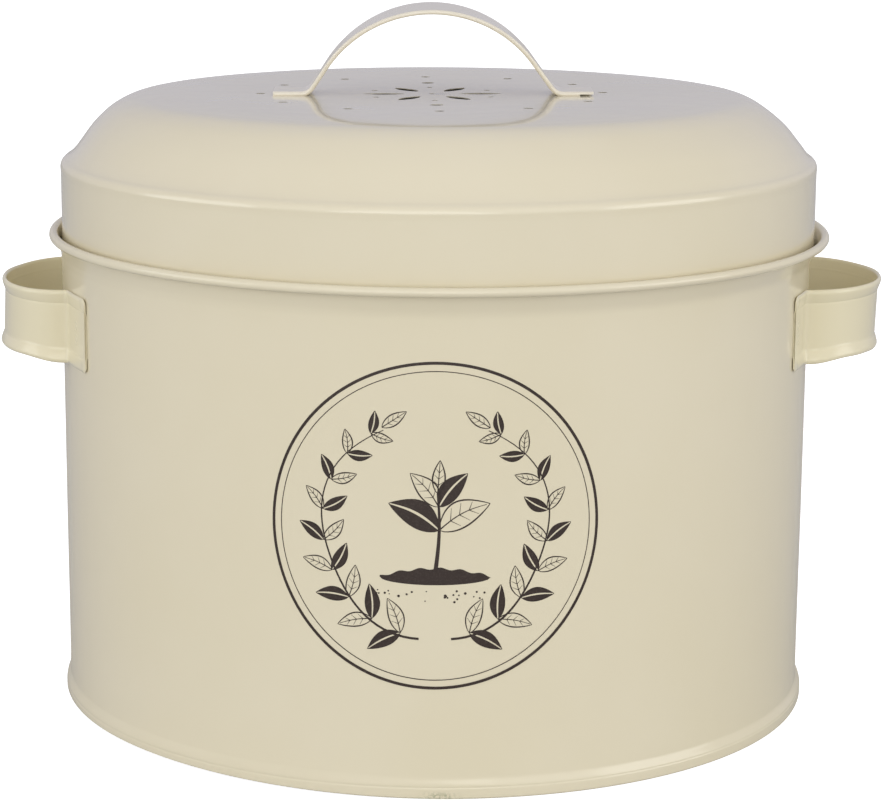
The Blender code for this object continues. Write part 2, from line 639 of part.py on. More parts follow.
def main():
    clear_scene()
    paint = make_material("cream_paint", (0.78, 0.71, 0.50), 0.28, coat=0.4)
    charcoal = make_material("charcoal_plastic", (0.05, 0.052, 0.055), 0.45)
    felt = make_material("carbon_felt", (0.018, 0.018, 0.019), 0.95)
    zinc = make_material("zinc_wire", (0.62, 0.63, 0.64), 0.3, metallic=1.0)
    hidden = make_material("helper", (0.5, 0.5, 0.5), 0.5)
    make_body_wall(paint)
    make_base_pan(paint)
    make_side_handle("side_handle_left", -1, paint)
    make_side_handle("side_handle_right", 1, paint)
    make_lid_shell(paint, hidden)
    make_lid_handle(paint)
    make_filter_holder(charcoal, hidden)
    make_carbon_filter(felt, hidden)
    make_inner_bucket(charcoal, hidden)
    make_bail(zinc)
    make_grip_tube(charcoal)


main()
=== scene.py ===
import math
import random

import bmesh
import bpy
from mathutils import Matrix, Vector


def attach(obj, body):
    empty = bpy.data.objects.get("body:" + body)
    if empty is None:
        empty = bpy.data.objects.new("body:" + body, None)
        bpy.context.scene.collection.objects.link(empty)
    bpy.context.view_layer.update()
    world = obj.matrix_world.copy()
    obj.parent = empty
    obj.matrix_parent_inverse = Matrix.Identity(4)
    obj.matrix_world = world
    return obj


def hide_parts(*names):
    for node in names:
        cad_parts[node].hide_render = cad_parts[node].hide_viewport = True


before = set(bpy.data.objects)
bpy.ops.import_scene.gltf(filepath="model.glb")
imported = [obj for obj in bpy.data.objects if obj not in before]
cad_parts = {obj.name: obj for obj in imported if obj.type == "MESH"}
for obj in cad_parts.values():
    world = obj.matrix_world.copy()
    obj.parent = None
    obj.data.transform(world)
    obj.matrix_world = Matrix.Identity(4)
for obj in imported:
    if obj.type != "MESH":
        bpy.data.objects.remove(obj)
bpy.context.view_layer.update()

# Studio
# The camera stands a little left of the bin's front and looks slightly down on it, from about 0.9 m.
# The floor is a plain white sheet that runs past the top of the picture, under large soft lamps.
PICTURE_WIDTH = 882
FOCAL_PIXELS = 2784.6
SENSOR = 36.0
CAMERA_AZIMUTH = math.radians(-1.25)
CAMERA_DISTANCE = 0.8924
CAMERA_HEIGHT = 0.2830
CAMERA_PITCH = math.radians(11.96)
CAMERA_YAW = math.radians(0.13)
CAMERA_ROLL = math.radians(0.384)

lens = bpy.data.cameras.new("camera")
lens.sensor_width = SENSOR
lens.lens = FOCAL_PIXELS / PICTURE_WIDTH * SENSOR
lens.clip_start, lens.clip_end = 0.05, 50.0
camera = bpy.data.objects.new("camera", lens)
bpy.context.collection.objects.link(camera)
heading = -CAMERA_AZIMUTH + CAMERA_YAW
ahead = Vector((math.sin(heading), math.cos(heading), 0.0)) * math.cos(CAMERA_PITCH)
ahead.z = -math.sin(CAMERA_PITCH)
level_right = Vector((math.cos(heading), -math.sin(heading), 0.0))
upright = level_right.cross(ahead)
right = level_right * math.cos(CAMERA_ROLL) + upright * math.sin(CAMERA_ROLL)
above = upright * math.cos(CAMERA_ROLL) - level_right * math.sin(CAMERA_ROLL)
turn = Matrix((right, above, -ahead)).transposed().to_4x4()
place = Vector((math.sin(CAMERA_AZIMUTH), -math.cos(CAMERA_AZIMUTH), 0.0)) * CAMERA_DISTANCE
place.z = CAMERA_HEIGHT
camera.matrix_world = Matrix.Translation(place) @ turn
bpy.context.scene.camera = camera

FLOOR_HALF = 14.0
FLOOR_DROP = 0.0002
FLOOR_GREY = 0.56
FLOOR_GRAIN = 0.01
FLOOR_LIFT = 0.94
FLOOR_GLOSSY_SHARE = 0.02


def new_material(name):
    """An empty node material and its tree."""
    material = bpy.data.materials.new(name)
    material.use_nodes = True
    material.node_tree.nodes.clear()
    return material, material.node_tree


def add_node(tree, kind, inputs=None, **settings):
    """Adds a shader node; each input is a value or the socket that feeds it."""
    node = tree.nodes.new("ShaderNode" + kind)
    for name, value in settings.items():
        setattr(node, name, value)
    for key, value in (inputs or {}).items():
        if isinstance(value, bpy.types.NodeSocket):
            tree.links.new(value, node.inputs[key])
        elif value is not None:
            node.inputs[key].default_value = value
    return node


floor_material, tree = new_material("white_floor")
grain = add_node(tree, "TexNoise", {"Scale": 3.0}).outputs["Fac"]
floor_range = {"To Min": FLOOR_GREY - FLOOR_GRAIN, "To Max": FLOOR_GREY + FLOOR_GRAIN}
grey = add_node(tree, "MapRange", {"Value": grain, **floor_range}).outputs["Result"]
matt = add_node(tree, "BsdfDiffuse", {"Color": grey})
rays = add_node(tree, "LightPath").outputs
lift = 0.0
for ray, share in (("Camera", 1.0), ("Transmission", 1.0), ("Glossy", FLOOR_GLOSSY_SHARE)):
    terms = {0: rays["Is " + ray + " Ray"], 1: FLOOR_LIFT * share, 2: lift}
    lift = add_node(tree, "Math", terms, operation="MULTIPLY_ADD").outputs["Value"]
glow = add_node(tree, "Emission", {"Strength": lift})
both = add_node(tree, "AddShader", {0: matt.outputs["BSDF"], 1: glow.outputs["Emission"]})
add_node(tree, "OutputMaterial", {"Surface": both.outputs["Shader"]})

bm = bmesh.new()
corners = ((-1, -1), (1, -1), (1, 1), (-1, 1))
bm.faces.new([bm.verts.new((x * FLOOR_HALF, y * FLOOR_HALF, -FLOOR_DROP)) for x, y in corners])
floor_mesh = bpy.data.meshes.new("floor")
bm.to_mesh(floor_mesh)
bm.free()
floor_mesh.materials.append(floor_material)
floor = bpy.data.objects.new("floor", floor_mesh)
bpy.context.collection.objects.link(floor)

# The surround is a plain light tent, a little greyer and cooler behind the bin than behind the camera.
WORLD_BACK = (0.530, 0.522, 0.580)
WORLD_FRONT = (1.12, 1.12, 1.12)
WORLD_LEAN = 1.05
WORLD_TURN = {"From Min": 0.75, "From Max": -0.35}
world = bpy.data.worlds.new("studio")
bpy.context.scene.world = world
world.use_nodes = True
tree = world.node_tree
tree.nodes.clear()
direction = add_node(tree, "TexCoord").outputs["Generated"]
split = add_node(tree, "SeparateXYZ", {"Vector": direction}).outputs
leaning = add_node(tree, "Math", {0: split["Z"], 1: WORLD_LEAN, 2: split["Y"]}, operation="MULTIPLY_ADD")
ramp = add_node(tree, "MapRange", {"Value": leaning.outputs["Value"], **WORLD_TURN},
                interpolation_type="SMOOTHSTEP")
ends = {"A": (*WORLD_BACK, 1.0), "B": (*WORLD_FRONT, 1.0)}
blend = add_node(tree, "Mix", {"Factor": ramp.outputs["Result"], **ends}, data_type="RGBA")
sky = add_node(tree, "Background", {"Color": blend.outputs["Result"]})
add_node(tree, "OutputWorld", {"Surface": sky.outputs["Background"]})

# Each lamp: name, place, size, power in watts, colour
LAMP_AIM = Vector((0.0, 0.0, 0.10))
LAMPS = (
    ("key_front", Vector((-0.35, -2.4, 0.15)), 2.2, 17.3, (1.0, 0.99, 0.97)),
    ("fill_right", Vector((2.2, -0.9, 0.4)), 1.8, 12.0, (1.0, 0.99, 0.98)),
    ("fill_left", Vector((-2.3, -0.6, 0.4)), 1.8, 10.0, (0.98, 0.99, 1.0)),
    ("top", Vector((0.1, 0.3, 2.2)), 1.8, 0.6, (1.0, 1.0, 1.0)),
)
for lamp_name, lamp_place, lamp_size, power, colour in LAMPS:
    lamp = bpy.data.lights.new(lamp_name, "AREA")
    lamp.shape = "DISK"
    lamp.size = lamp_size
    lamp.energy = power
    lamp.color = colour
    lamp_object = bpy.data.objects.new(lamp_name, lamp)
    lamp_object.location = lamp_place
    lamp_object.rotation_euler = (LAMP_AIM - lamp_place).to_track_quat("-Z", "Y").to_euler()
    bpy.context.collection.objects.link(lamp_object)

view = bpy.context.scene.view_settings
view.view_transform = "Standard"

# Drum
# One strip of thin sheet steel, rolled round and lap-welded down the back. Its top opens into a collar with a
# rolled rim, a millimetre off centre. Its foot is flared over a fine crease and folded in, a little unevenly.
# Cream paint covers it inside and out, glossy and with a fine orange-peel skin.
SHEET = 0.0005
BODY_RADIUS = 0.120
FLARE_START = 0.1438
RIM_RADIUS = 0.1236
RIM_HEIGHT = 0.1508
RIM_ROLL = 0.0014
COLLAR_SHIFT = 0.00114
FOOT_RADIUS = 0.1215
FOOT_FLARE_START = 0.0072
FOOT_WIDEST = 0.0030
FLARE_LEAN = 0.16
CREASE_HEIGHT = 0.0036
CREASE_DEPTH = 0.00010
SQUEEZE = 0.0012
SQUEEZE_ANGLE = math.radians(20)
LEFT_LIFT = 0.0014
FOOT_FOLD = 0.00055
SEAT_GAP = 0.0003
HOOK_TOP = 0.0032
SEAM_HALF_ANGLE = 1.3
SEAM_STEP = 0.00035
ROUND_STEPS = 240
CREAM = (0.765, 0.700, 0.525)
CREAM_DEEP = (0.745, 0.678, 0.492)


def arc(centre, radius, start, end, steps):
    """Points on an arc in a plane, angles in degrees from the first axis."""
    points = []
    for i in range(steps + 1):
        angle = math.radians(start + (end - start) * i / steps)
        points.append((centre[0] + radius * math.cos(angle), centre[1] + radius * math.sin(angle)))
    return points


def bent_sheet(path, thickness):
    """Closed section of a bent sheet whose middle follows the path."""
    left, right_side = [], []
    for i, point in enumerate(path):
        here = Vector(point)
        before = Vector(path[max(i - 1, 0)])
        after = Vector(path[min(i + 1, len(path) - 1)])
        incoming = (here - before).normalized() if i else (after - here).normalized()
        outgoing = (after - here).normalized() if i < len(path) - 1 else incoming
        normal_in = Vector((-incoming.y, incoming.x))
        middle = (normal_in + Vector((-outgoing.y, outgoing.x))).normalized()
        reach = thickness / 2 / max(middle.dot(normal_in), 0.5)
        left.append(tuple(here + middle * reach))
        right_side.append(tuple(here - middle * reach))
    return left + right_side[::-1]


def even_angles(steps=ROUND_STEPS):
    return [360.0 * k / steps for k in range(steps)]


def direction_at(path, i):
    """From the point before to the point after, or from the point itself at an end."""
    return Vector(path[min(i + 1, len(path) - 1)]) - Vector(path[max(i - 1, 0)])


def joined(made, rings):
    """Fills the bands between neighbouring closed rings of vertices; a ring of one vertex is a pole."""
    for a, b in zip(rings, rings[1:]):
        count = max(len(a), len(b))
        for k in range(count if count > 1 else 0):
            n = (k + 1) % count
            if len(a) == 1:
                made.faces.new((a[0], b[k], b[n]))
            elif len(b) == 1:
                made.faces.new((a[k], b[0], a[n]))
            else:
                made.faces.new((a[k], b[k], b[n], a[n]))


def turned(section, angles, swell=None):
    """Turns a closed section of (radius, height) round Z; swell(angle, radius, height) may widen a place."""
    made = bmesh.new()
    rings = []
    for radius, height in section:
        if radius < 1e-7:
            rings.append([made.verts.new((0.0, 0.0, height))])
            continue
        ring = []
        for degrees in angles:
            out = radius + (swell(degrees, radius, height) if swell else 0.0)
            angle = math.radians(degrees)
            ring.append(made.verts.new((out * math.cos(angle), out * math.sin(angle), height)))
        rings.append(ring)
    joined(made, rings + rings[:1])
    return made


def piece(name, made, material, sharp=40):
    """Turns a bmesh into a smooth-shaded object with its faces outward."""
    bmesh.ops.recalc_face_normals(made, faces=made.faces)
    mesh = bpy.data.meshes.new(name)
    made.to_mesh(mesh)
    made.free()
    mesh.shade_smooth()
    mesh.set_sharp_from_angle(angle=math.radians(sharp))
    mesh.materials.append(material)
    obj = bpy.data.objects.new(name, mesh)
    bpy.context.collection.objects.link(obj)
    return obj


def effect_group(name, numbers):
    """A shader node group with these number inputs and the outputs that every surface here needs."""
    group = bpy.data.node_groups.new(name, "ShaderNodeTree")
    for socket_name, value in numbers.items():
        socket = group.interface.new_socket(name=socket_name, in_out="INPUT", socket_type="NodeSocketFloat")
        socket.default_value = value
    for socket_name in ("Tone", "Gloss Loss", "Height"):
        group.interface.new_socket(name=socket_name, in_out="OUTPUT", socket_type="NodeSocketFloat")
    return group, group.nodes.new("NodeGroupInput").outputs


def close_group(group, tone, gloss_loss, height):
    """Leads the three results to the group's outputs."""
    result = group.nodes.new("NodeGroupOutput")
    for socket_name, value in (("Tone", tone), ("Gloss Loss", gloss_loss), ("Height", height)):
        group.links.new(value, result.inputs[socket_name])
    return group


def object_place(tree):
    return add_node(tree, "TexCoord").outputs["Object"]


def scaled_noise(tree, vector, scale, detail=2.0, roughness=0.5):
    look = {"Vector": vector, "Scale": scale, "Detail": detail, "Roughness": roughness}
    return add_node(tree, "TexNoise", look).outputs["Fac"]


def math_node(tree, operation, a, b=None, clamp=False):
    """A Math node whose inputs are sockets or numbers; returns its output."""
    return add_node(tree, "Math", {0: a, 1: b}, operation=operation, use_clamp=clamp).outputs["Value"]


def product(tree, *values):
    result = values[0]
    for value in values[1:]:
        result = math_node(tree, "MULTIPLY", result, value)
    return result


def remap(tree, value, low, high, to_low=0.0, to_high=1.0, smooth=False):
    limits = {"From Min": low, "From Max": high, "To Min": to_low, "To Max": to_high}
    kind = "SMOOTHSTEP" if smooth else "LINEAR"
    return add_node(tree, "MapRange", {"Value": value, **limits}, interpolation_type=kind).outputs["Result"]


def build_paint_skin():
    """Baked paint: cloudy tone, orange peel, slow waves in the sheet, and rare dust nibs under the coat."""
    numbers = {"Peel Height": 0.0000022, "Wave Height": 0.000018, "Nib Height": 0.00002}
    group, given = effect_group("paint_skin", numbers)
    where = object_place(group)
    peel = product(group, scaled_noise(group, where, 620.0, 1.0), given["Peel Height"])
    waves = product(group, scaled_noise(group, where, 22.0, 1.0), given["Wave Height"])
    cells = add_node(group, "TexVoronoi", {"Scale": 70.0, "Vector": where}).outputs
    near = remap(group, cells["Distance"], 0.0, 0.045, 1.0, 0.0, True)
    chosen = add_node(group, "SeparateColor", {"Color": cells["Color"]}).outputs["Red"]
    nibs = product(group, near, math_node(group, "GREATER_THAN", chosen, 0.88), given["Nib Height"])
    height = math_node(group, "ADD", math_node(group, "ADD", peel, waves), nibs)
    cloud = scaled_noise(group, where, 14.0, 3.0, 0.55)
    smear = scaled_noise(group, where, 48.0, 4.0, 0.6)
    return close_group(group, remap(group, cloud, 0.3, 0.7), remap(group, smear, 0.35, 0.75), height)


PAINT_SKIN = build_paint_skin()


def mixed_colour(tree, factor, first, second):
    """Mixes two colours, each a tuple or a socket."""
    a, b = ((*colour, 1.0) if isinstance(colour, tuple) else colour for colour in (first, second))
    return add_node(tree, "Mix", {"Factor": factor, "A": a, "B": b}, data_type="RGBA").outputs["Result"]


def finished(material, colour, rough, height, strength=1.0, more=None):
    """Gives a new material its shader, of this colour, roughness and relief; more holds other inputs."""
    tree = material.node_tree
    bump = add_node(tree, "Bump", {"Strength": strength, "Distance": 1.0, "Height": height})
    look = {"Base Color": colour, "Roughness": rough, "Normal": bump.outputs["Normal"], **(more or {})}
    shader = add_node(tree, "BsdfPrincipled", look)
    add_node(tree, "OutputMaterial", {"Surface": shader.outputs["BSDF"]})
    return material


def cream_paint(name, wave=0.000018, wear_and_sheen=None, pale=CREAM, deep=CREAM_DEEP, coat=0.20):
    """Glossy cream paint; a given (tree, colour) function may add wear, dust and painted reflection in one
    place.
    """
    material, tree = new_material(name)
    skin = add_node(tree, "Group", {"Wave Height": wave}, node_tree=PAINT_SKIN).outputs
    colour = mixed_colour(tree, skin["Tone"], pale, deep)
    if wear_and_sheen:
        colour = wear_and_sheen(tree, colour)
    rough = remap(tree, skin["Gloss Loss"], 0.0, 1.0, 0.17, 0.23)
    gloss = {"IOR": 1.5, "Coat Weight": coat, "Coat Roughness": 0.05}
    return finished(material, colour, rough, skin["Height"], more=gloss)


def foot_scuff(tree, colour):
    """A worn, greenish patch low on the front of the foot, where the paint has been rubbed thin."""
    where = object_place(tree)
    split = add_node(tree, "SeparateXYZ", {"Vector": where}).outputs
    across = math_node(tree, "ABSOLUTE", math_node(tree, "ADD", split["X"], 0.0005))
    width = remap(tree, across, 0.0015, 0.0075, 1.0, 0.0, True)
    low = remap(tree, split["Z"], 0.0006, 0.0030, 1.0, 0.0, True)
    front = math_node(tree, "LESS_THAN", split["Y"], 0.0)
    ragged = remap(tree, scaled_noise(tree, where, 900.0, 3.0, 0.7), 0.42, 0.62, 0.0, 1.0, True)
    return mixed_colour(tree, product(tree, width, low, front, ragged, 0.75), colour, (0.30, 0.32, 0.19))


DRUM_PAINT = cream_paint("cream_paint_drum", wear_and_sheen=foot_scuff)


def drum_path():
    """Middle of the drum's sheet, from the folded-in edge at the foot to the end of the rim's roll."""
    wall = BODY_RADIUS - SHEET / 2
    foot = FOOT_RADIUS - SHEET / 2
    hook = foot - 2 * (SHEET + SEAT_GAP)
    fold_height = FOOT_FOLD + SHEET / 2
    path = [(hook, HOOK_TOP), (hook, HOOK_TOP / 2)]
    path += arc((hook + FOOT_FOLD, fold_height), FOOT_FOLD, 180, 270, 5)
    path += arc((foot - FOOT_FOLD, fold_height), FOOT_FOLD, 270, 360, 5)
    flare_steps = 20
    for i in range(flare_steps + 1):
        share = i / flare_steps
        height = FOOT_WIDEST + (FOOT_FLARE_START - FOOT_WIDEST) * share
        path.append((wall + (foot - wall) * (0.5 + 0.5 * math.cos(math.pi * share)), height))
    bend = 0.0016
    path += [(wall - 0.00012, 0.0124), (wall - 0.0001, 0.030), (wall, 0.060), (wall, 0.085), (wall, 0.125)]
    path += [(wall, FLARE_START - bend)]
    roll = RIM_ROLL - SHEET / 2
    across, up = RIM_RADIUS - wall, RIM_HEIGHT - FLARE_START
    slope = math.atan2(across, up) - math.asin(roll / math.hypot(across, up))
    bend_steps = 5
    for i in range(1, bend_steps + 1):
        t = i / bend_steps
        path.append((wall + bend * math.sin(slope) * t * t, FLARE_START - bend + 2 * bend * t))
    path += arc((RIM_RADIUS, RIM_HEIGHT), roll, 180.0 - math.degrees(slope), -150, 30)
    return path


def eased(value, low, high):
    """Smooth step from 0 at low to 1 at high."""
    t = min(max((value - low) / (high - low), 0.0), 1.0)
    return t * t * (3 - 2 * t)


def press_foot(obj):
    """The foot was pressed unevenly: it stands out less at the front and is raised at the front's left."""
    for vert in obj.data.vertices:
        out = vert.co.xy.length
        if out < BODY_RADIUS - 4 * SHEET or vert.co.z > FOOT_FLARE_START:
            continue
        toward_front = vert.co.x * math.sin(SQUEEZE_ANGLE) + vert.co.y * math.cos(SQUEEZE_ANGLE)
        front = max(-toward_front / out, 0.0)
        from_front = math.degrees(math.atan2(-vert.co.x, -vert.co.y))
        left = eased(from_front, -5, 55) * (1 - eased(from_front, 110, 160))
        spread = 1 - eased(vert.co.z, FOOT_WIDEST, FOOT_FLARE_START)
        vert.co.z += LEFT_LIFT * left * max(1 - vert.co.z / FOOT_WIDEST, 0.0)
        vert.co.xy -= vert.co.xy.normalized() * SQUEEZE * front ** 2 * spread


def drum_angles():
    """Even steps, with extra ones at the edges of the lap weld down the back."""
    low, high = 90 - SEAM_HALF_ANGLE, 90 + SEAM_HALF_ANGLE
    extra = [low, low + 0.15, high, high - 0.4]
    kept = [a for a in even_angles() if all(abs(a - e) > 0.12 for e in extra)]
    return sorted(kept + extra)


def lap_weld(degrees, radius, height):
    """The overlapping edge stands out by nearly the sheet's thickness on one side and fades on the other."""
    if not FOOT_FLARE_START < height < FLARE_START:
        return 0.0
    from_back = degrees - 90
    if from_back < -SEAM_HALF_ANGLE + 0.01 or from_back > SEAM_HALF_ANGLE - 0.01:
        return 0.0
    return SEAM_STEP * (1 - (from_back + SEAM_HALF_ANGLE) / (2 * SEAM_HALF_ANGLE)) ** 0.5


drum = piece("drum", turned(bent_sheet(drum_path(), SHEET), drum_angles(), lap_weld), DRUM_PAINT)
for vert in drum.data.vertices:
    vert.co.x += COLLAR_SHIFT * min(max((vert.co.z - FLARE_START) / (RIM_HEIGHT - FLARE_START), 0.0), 1.0)
    if FOOT_WIDEST < vert.co.z < FOOT_FLARE_START + 0.0001 and vert.co.xy.length > BODY_RADIUS - 2 * SHEET:
        crease = 1 - eased(abs(vert.co.z - CREASE_HEIGHT), 0.0, 0.0004)
        vert.co.xy -= vert.co.xy.normalized() * CREASE_DEPTH * crease
        vert.co.z += (vert.co.z - FOOT_WIDEST) * -FLARE_LEAN * vert.co.x / BODY_RADIUS
press_foot(drum)
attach(drum, "bin")
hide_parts("body_wall")

# Base
# A shallow pressed disc of the same sheet, raised off the table, with a stiffening step near its edge. Its
# turned-down edge is caught in the drum's folded foot.
PAN_RAISE = 0.0040
PAN_CORNER = 0.0012
PAN_STEP_RADIUS = 0.098
PAN_STEP = 0.0009
PAN_STEP_WIDTH = 0.004
PAN_STEPS = 8

flange = FOOT_RADIUS - SHEET / 2 - SHEET - SEAT_GAP
pan_middle = PAN_RAISE + SHEET / 2
step_start = PAN_STEP_RADIUS - PAN_STEP_WIDTH
pan_path = [(0.0, pan_middle - PAN_STEP), (step_start, pan_middle - PAN_STEP)]
for i in range(1, PAN_STEPS + 1):
    t = i / PAN_STEPS
    sunk = PAN_STEP * (0.5 + 0.5 * math.cos(math.pi * t))
    pan_path.append((step_start + PAN_STEP_WIDTH * t, pan_middle - sunk))
pan_path += [(flange - PAN_CORNER - 0.002, pan_middle)]
pan_path += arc((flange - PAN_CORNER, pan_middle - PAN_CORNER), PAN_CORNER, 90, 0, 6)
pan_path += [(flange, SHEET + SEAT_GAP)]
base = piece("base", turned(bent_sheet(pan_path, SHEET), even_angles()), cream_paint("cream_paint_base"))
press_foot(base)
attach(base, "bin")
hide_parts("base_pan")

# Printed label
# A dark brown screen print on the front of the drum: a bold ring with a fine ring inside it, and a plain
# botanical picture of a seedling between two leafy sprigs.
LABEL_AZIMUTH = math.radians(-1.05)
LABEL_HEIGHT = 0.0820
LABEL_RING = 0.0480
LABEL_RING_LINE = 0.00088
LABEL_FINE_GAP = 0.0024
LABEL_FINE_LINE = 0.00026
INK_LIFT = 0.00003
INK = (0.030, 0.018, 0.013)
INK_WORN = (0.055, 0.038, 0.028)


def printing_ink():
    """Flat dark ink with fine, slightly raised specks."""
    material, tree = new_material("printing_ink")
    noise = scaled_noise(tree, object_place(tree), 1800.0, 3.0, 0.7)
    speckle = remap(tree, noise, 0.45, 0.75, 0.0, 1.0, True)
    colour = mixed_colour(tree, speckle, INK, INK_WORN)
    rough = remap(tree, speckle, 0.0, 1.0, 0.30, 0.42)
    return finished(material, colour, rough, product(tree, speckle, 0.000004))


def spun(x, y, angle, centre=(0.0, 0.0)):
    """A point turned by the angle, and then moved by the centre's place."""
    return (centre[0] + x * math.cos(angle) - y * math.sin(angle),
            centre[1] + x * math.sin(angle) + y * math.cos(angle))


class Print:
    """Flat shapes drawn in label places (across, up) and laid on the drum's round front."""

    def __init__(self):
        self.made = bmesh.new()

    def vert(self, across, up):
        angle = LABEL_AZIMUTH + across / BODY_RADIUS
        out = BODY_RADIUS + INK_LIFT
        return self.made.verts.new((out * math.sin(angle), -out * math.cos(angle), LABEL_HEIGHT + up))

    def band(self, first, second):
        """Fills the band between two rows of points."""
        a = [self.vert(*p) for p in first]
        b = [self.vert(*p) for p in second]
        for i in range(len(a) - 1):
            self.made.faces.new((a[i], a[i + 1], b[i + 1], b[i]))

    def ring(self, radius, line, steps=180):
        inner, outer = [], []
        for i in range(steps + 1):
            angle = 2 * math.pi * i / steps
            for row, reach in ((inner, radius - line / 2), (outer, radius + line / 2)):
                row.append((reach * math.cos(angle), reach * math.sin(angle)))
        self.band(outer, inner)

    def stroke(self, points, widths):
        """A pen line through the points, with a width at each."""
        left, right_side = [], []
        for i, point in enumerate(points):
            here = Vector(point)
            along = direction_at(points, i)
            side = Vector((-along.y, along.x)).normalized() * widths[i] / 2
            left.append(tuple(here + side))
            right_side.append(tuple(here - side))
        self.band(left, right_side)

    def leaf(self, foot, degrees, length, width, pen, solid, bend=0.0):
        """A pointed leaf with a midrib, either drawn in outline with side veins or filled."""
        steps = 16

        def placed(along, off):
            off = off + bend * length * math.sin(math.pi * along) * 0.5
            return spun(along * length, off, math.radians(degrees), foot)

        def half_width(t):
            return width / 2 * math.sin(math.pi * t ** 0.85) ** 0.9 if 0 < t < 1 else 0.0

        for side in (1, -1):
            edge = [placed(i / steps, side * half_width(i / steps)) for i in range(steps + 1)]
            taper = [pen * (0.55 + 0.6 * math.sin(math.pi * i / steps)) for i in range(steps + 1)]
            self.stroke(edge, taper)
            if solid:
                rib = [placed(i / steps, side * (pen * 0.35 + half_width(i / steps) * 0.06))
                       for i in range(steps + 1)]
                rows = 4
                last = rib
                for k in range(1, rows + 1):
                    row = [tuple(Vector(a).lerp(Vector(b), k / rows)) for a, b in zip(rib, edge)]
                    self.band(last, row)
                    last = row
            else:
                for i in range(4, steps - 3, 3):
                    t = i / steps
                    reach = half_width(min(t + 0.12, 1.0)) * 0.78
                    vein = [placed(t + 0.12 * s / 4, side * reach * s / 4) for s in range(5)]
                    self.stroke(vein, [pen * (0.55 - 0.08 * s) for s in range(5)])
        if not solid:
            middle = [placed(i / steps * 0.94, 0.0) for i in range(steps + 1)]
            self.stroke(middle, [pen * (0.95 - 0.5 * i / steps) for i in range(steps + 1)])


PEN = 0.00042
SPRIG_RADIUS = 0.0330
SPRIG_START = -82.0
SPRIG_END = 62.0
SPRIG_LEAVES = 9
SPRIG_STEPS = 40
label = Print()
label.ring(LABEL_RING, LABEL_RING_LINE)
label.ring(LABEL_RING - LABEL_FINE_GAP, LABEL_FINE_LINE)
for side in (1, -1):
    spine = []
    for i in range(SPRIG_STEPS + 1):
        angle = math.radians(SPRIG_START + (SPRIG_END - SPRIG_START) * i / SPRIG_STEPS)
        reach = SPRIG_RADIUS + 0.0010 * math.sin(4.0 * angle)
        spine.append((side * reach * math.cos(angle), reach * math.sin(angle)))
    label.stroke(spine, [PEN * (1.7 - 1.1 * i / SPRIG_STEPS) for i in range(SPRIG_STEPS + 1)])
    for k in range(SPRIG_LEAVES):
        t = (k + 0.6) / SPRIG_LEAVES
        angle = SPRIG_START + (SPRIG_END - SPRIG_START) * t
        foot_angle = math.radians(angle)
        foot = (side * SPRIG_RADIUS * math.cos(foot_angle), SPRIG_RADIUS * math.sin(foot_angle))
        size = 0.0112 * (1 - 0.42 * t)
        for lean, solid in ((-46, k % 2 == 0), (52, k % 2 == 1)):
            pointing = angle + 90 + lean
            if side < 0:
                pointing = 180 - pointing
            label.leaf(foot, pointing, size, size * 0.40, PEN * 0.8, solid, 0.10 * side)
    tip_angle = math.radians(SPRIG_END)
    tip = (side * SPRIG_RADIUS * math.cos(tip_angle), SPRIG_RADIUS * math.sin(tip_angle))
    label.leaf(tip, SPRIG_END + 84 if side > 0 else 96 - SPRIG_END, 0.0085, 0.0032, PEN * 0.8, False)

SEED_FOOT = -0.0135
STEM_STEPS = 24
MOUND_HALF = 0.0160
shares = [i / STEM_STEPS for i in range(STEM_STEPS + 1)]
stem = [(0.0011 * math.sin(2.6 * t), SEED_FOOT + 0.0235 * t) for t in shares]
label.stroke(stem, [PEN * (3.0 - 1.6 * t) for t in shares])
for side in (1, -1):
    label.leaf(stem[13], 90 - side * 62, 0.0165, 0.0078, PEN, side < 0, 0.16 * side)
    label.leaf(stem[20], 90 - side * 40, 0.0128, 0.0056, PEN * 0.9, side > 0, 0.12 * side)
label.leaf(stem[24], 86, 0.0098, 0.0036, PEN * 0.9, False)
mound_upper, mound_lower = [], []
for i in range(41):
    t = i / 40 * 2 - 1
    top = 0.0026 * (1 - t * t) - 0.0012 + 0.00035 * math.sin(17 * t)
    mound_upper.append((t * MOUND_HALF, SEED_FOOT + top))
    mound_lower.append((t * MOUND_HALF, SEED_FOOT - 0.0014 - 0.0022 * (1 - t * t) ** 0.5))
for low_share, high_share in ((0.0, 0.34), (0.34, 0.67), (0.67, 1.0)):
    rows = []
    for share in (low_share, high_share):
        rows.append([tuple(Vector(a).lerp(Vector(b), share)) for a, b in zip(mound_upper, mound_lower)])
    label.band(*rows)
CRUMBS = 26
crumbs = random.Random(7)
for i in range(CRUMBS):
    spread = crumbs.uniform(-1, 1)
    centre = (spread * 0.0190, SEED_FOOT - 0.0052 - crumbs.uniform(0.0, 0.0042) * (1 - abs(spread) * 0.6))
    dot = crumbs.uniform(0.00018, 0.00042)
    label.band(*([(centre[0] + dot * math.cos(way * a), centre[1] + dot * math.sin(way * a))
                  for a in (0, 0.8, 1.6, 2.4, 3.14)] for way in (1, -1)))
bmesh.ops.remove_doubles(label.made, verts=label.made.verts, dist=0.0000005)
printed_label = piece("printed_label", label.made, printing_ink())
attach(printed_label, "bin")

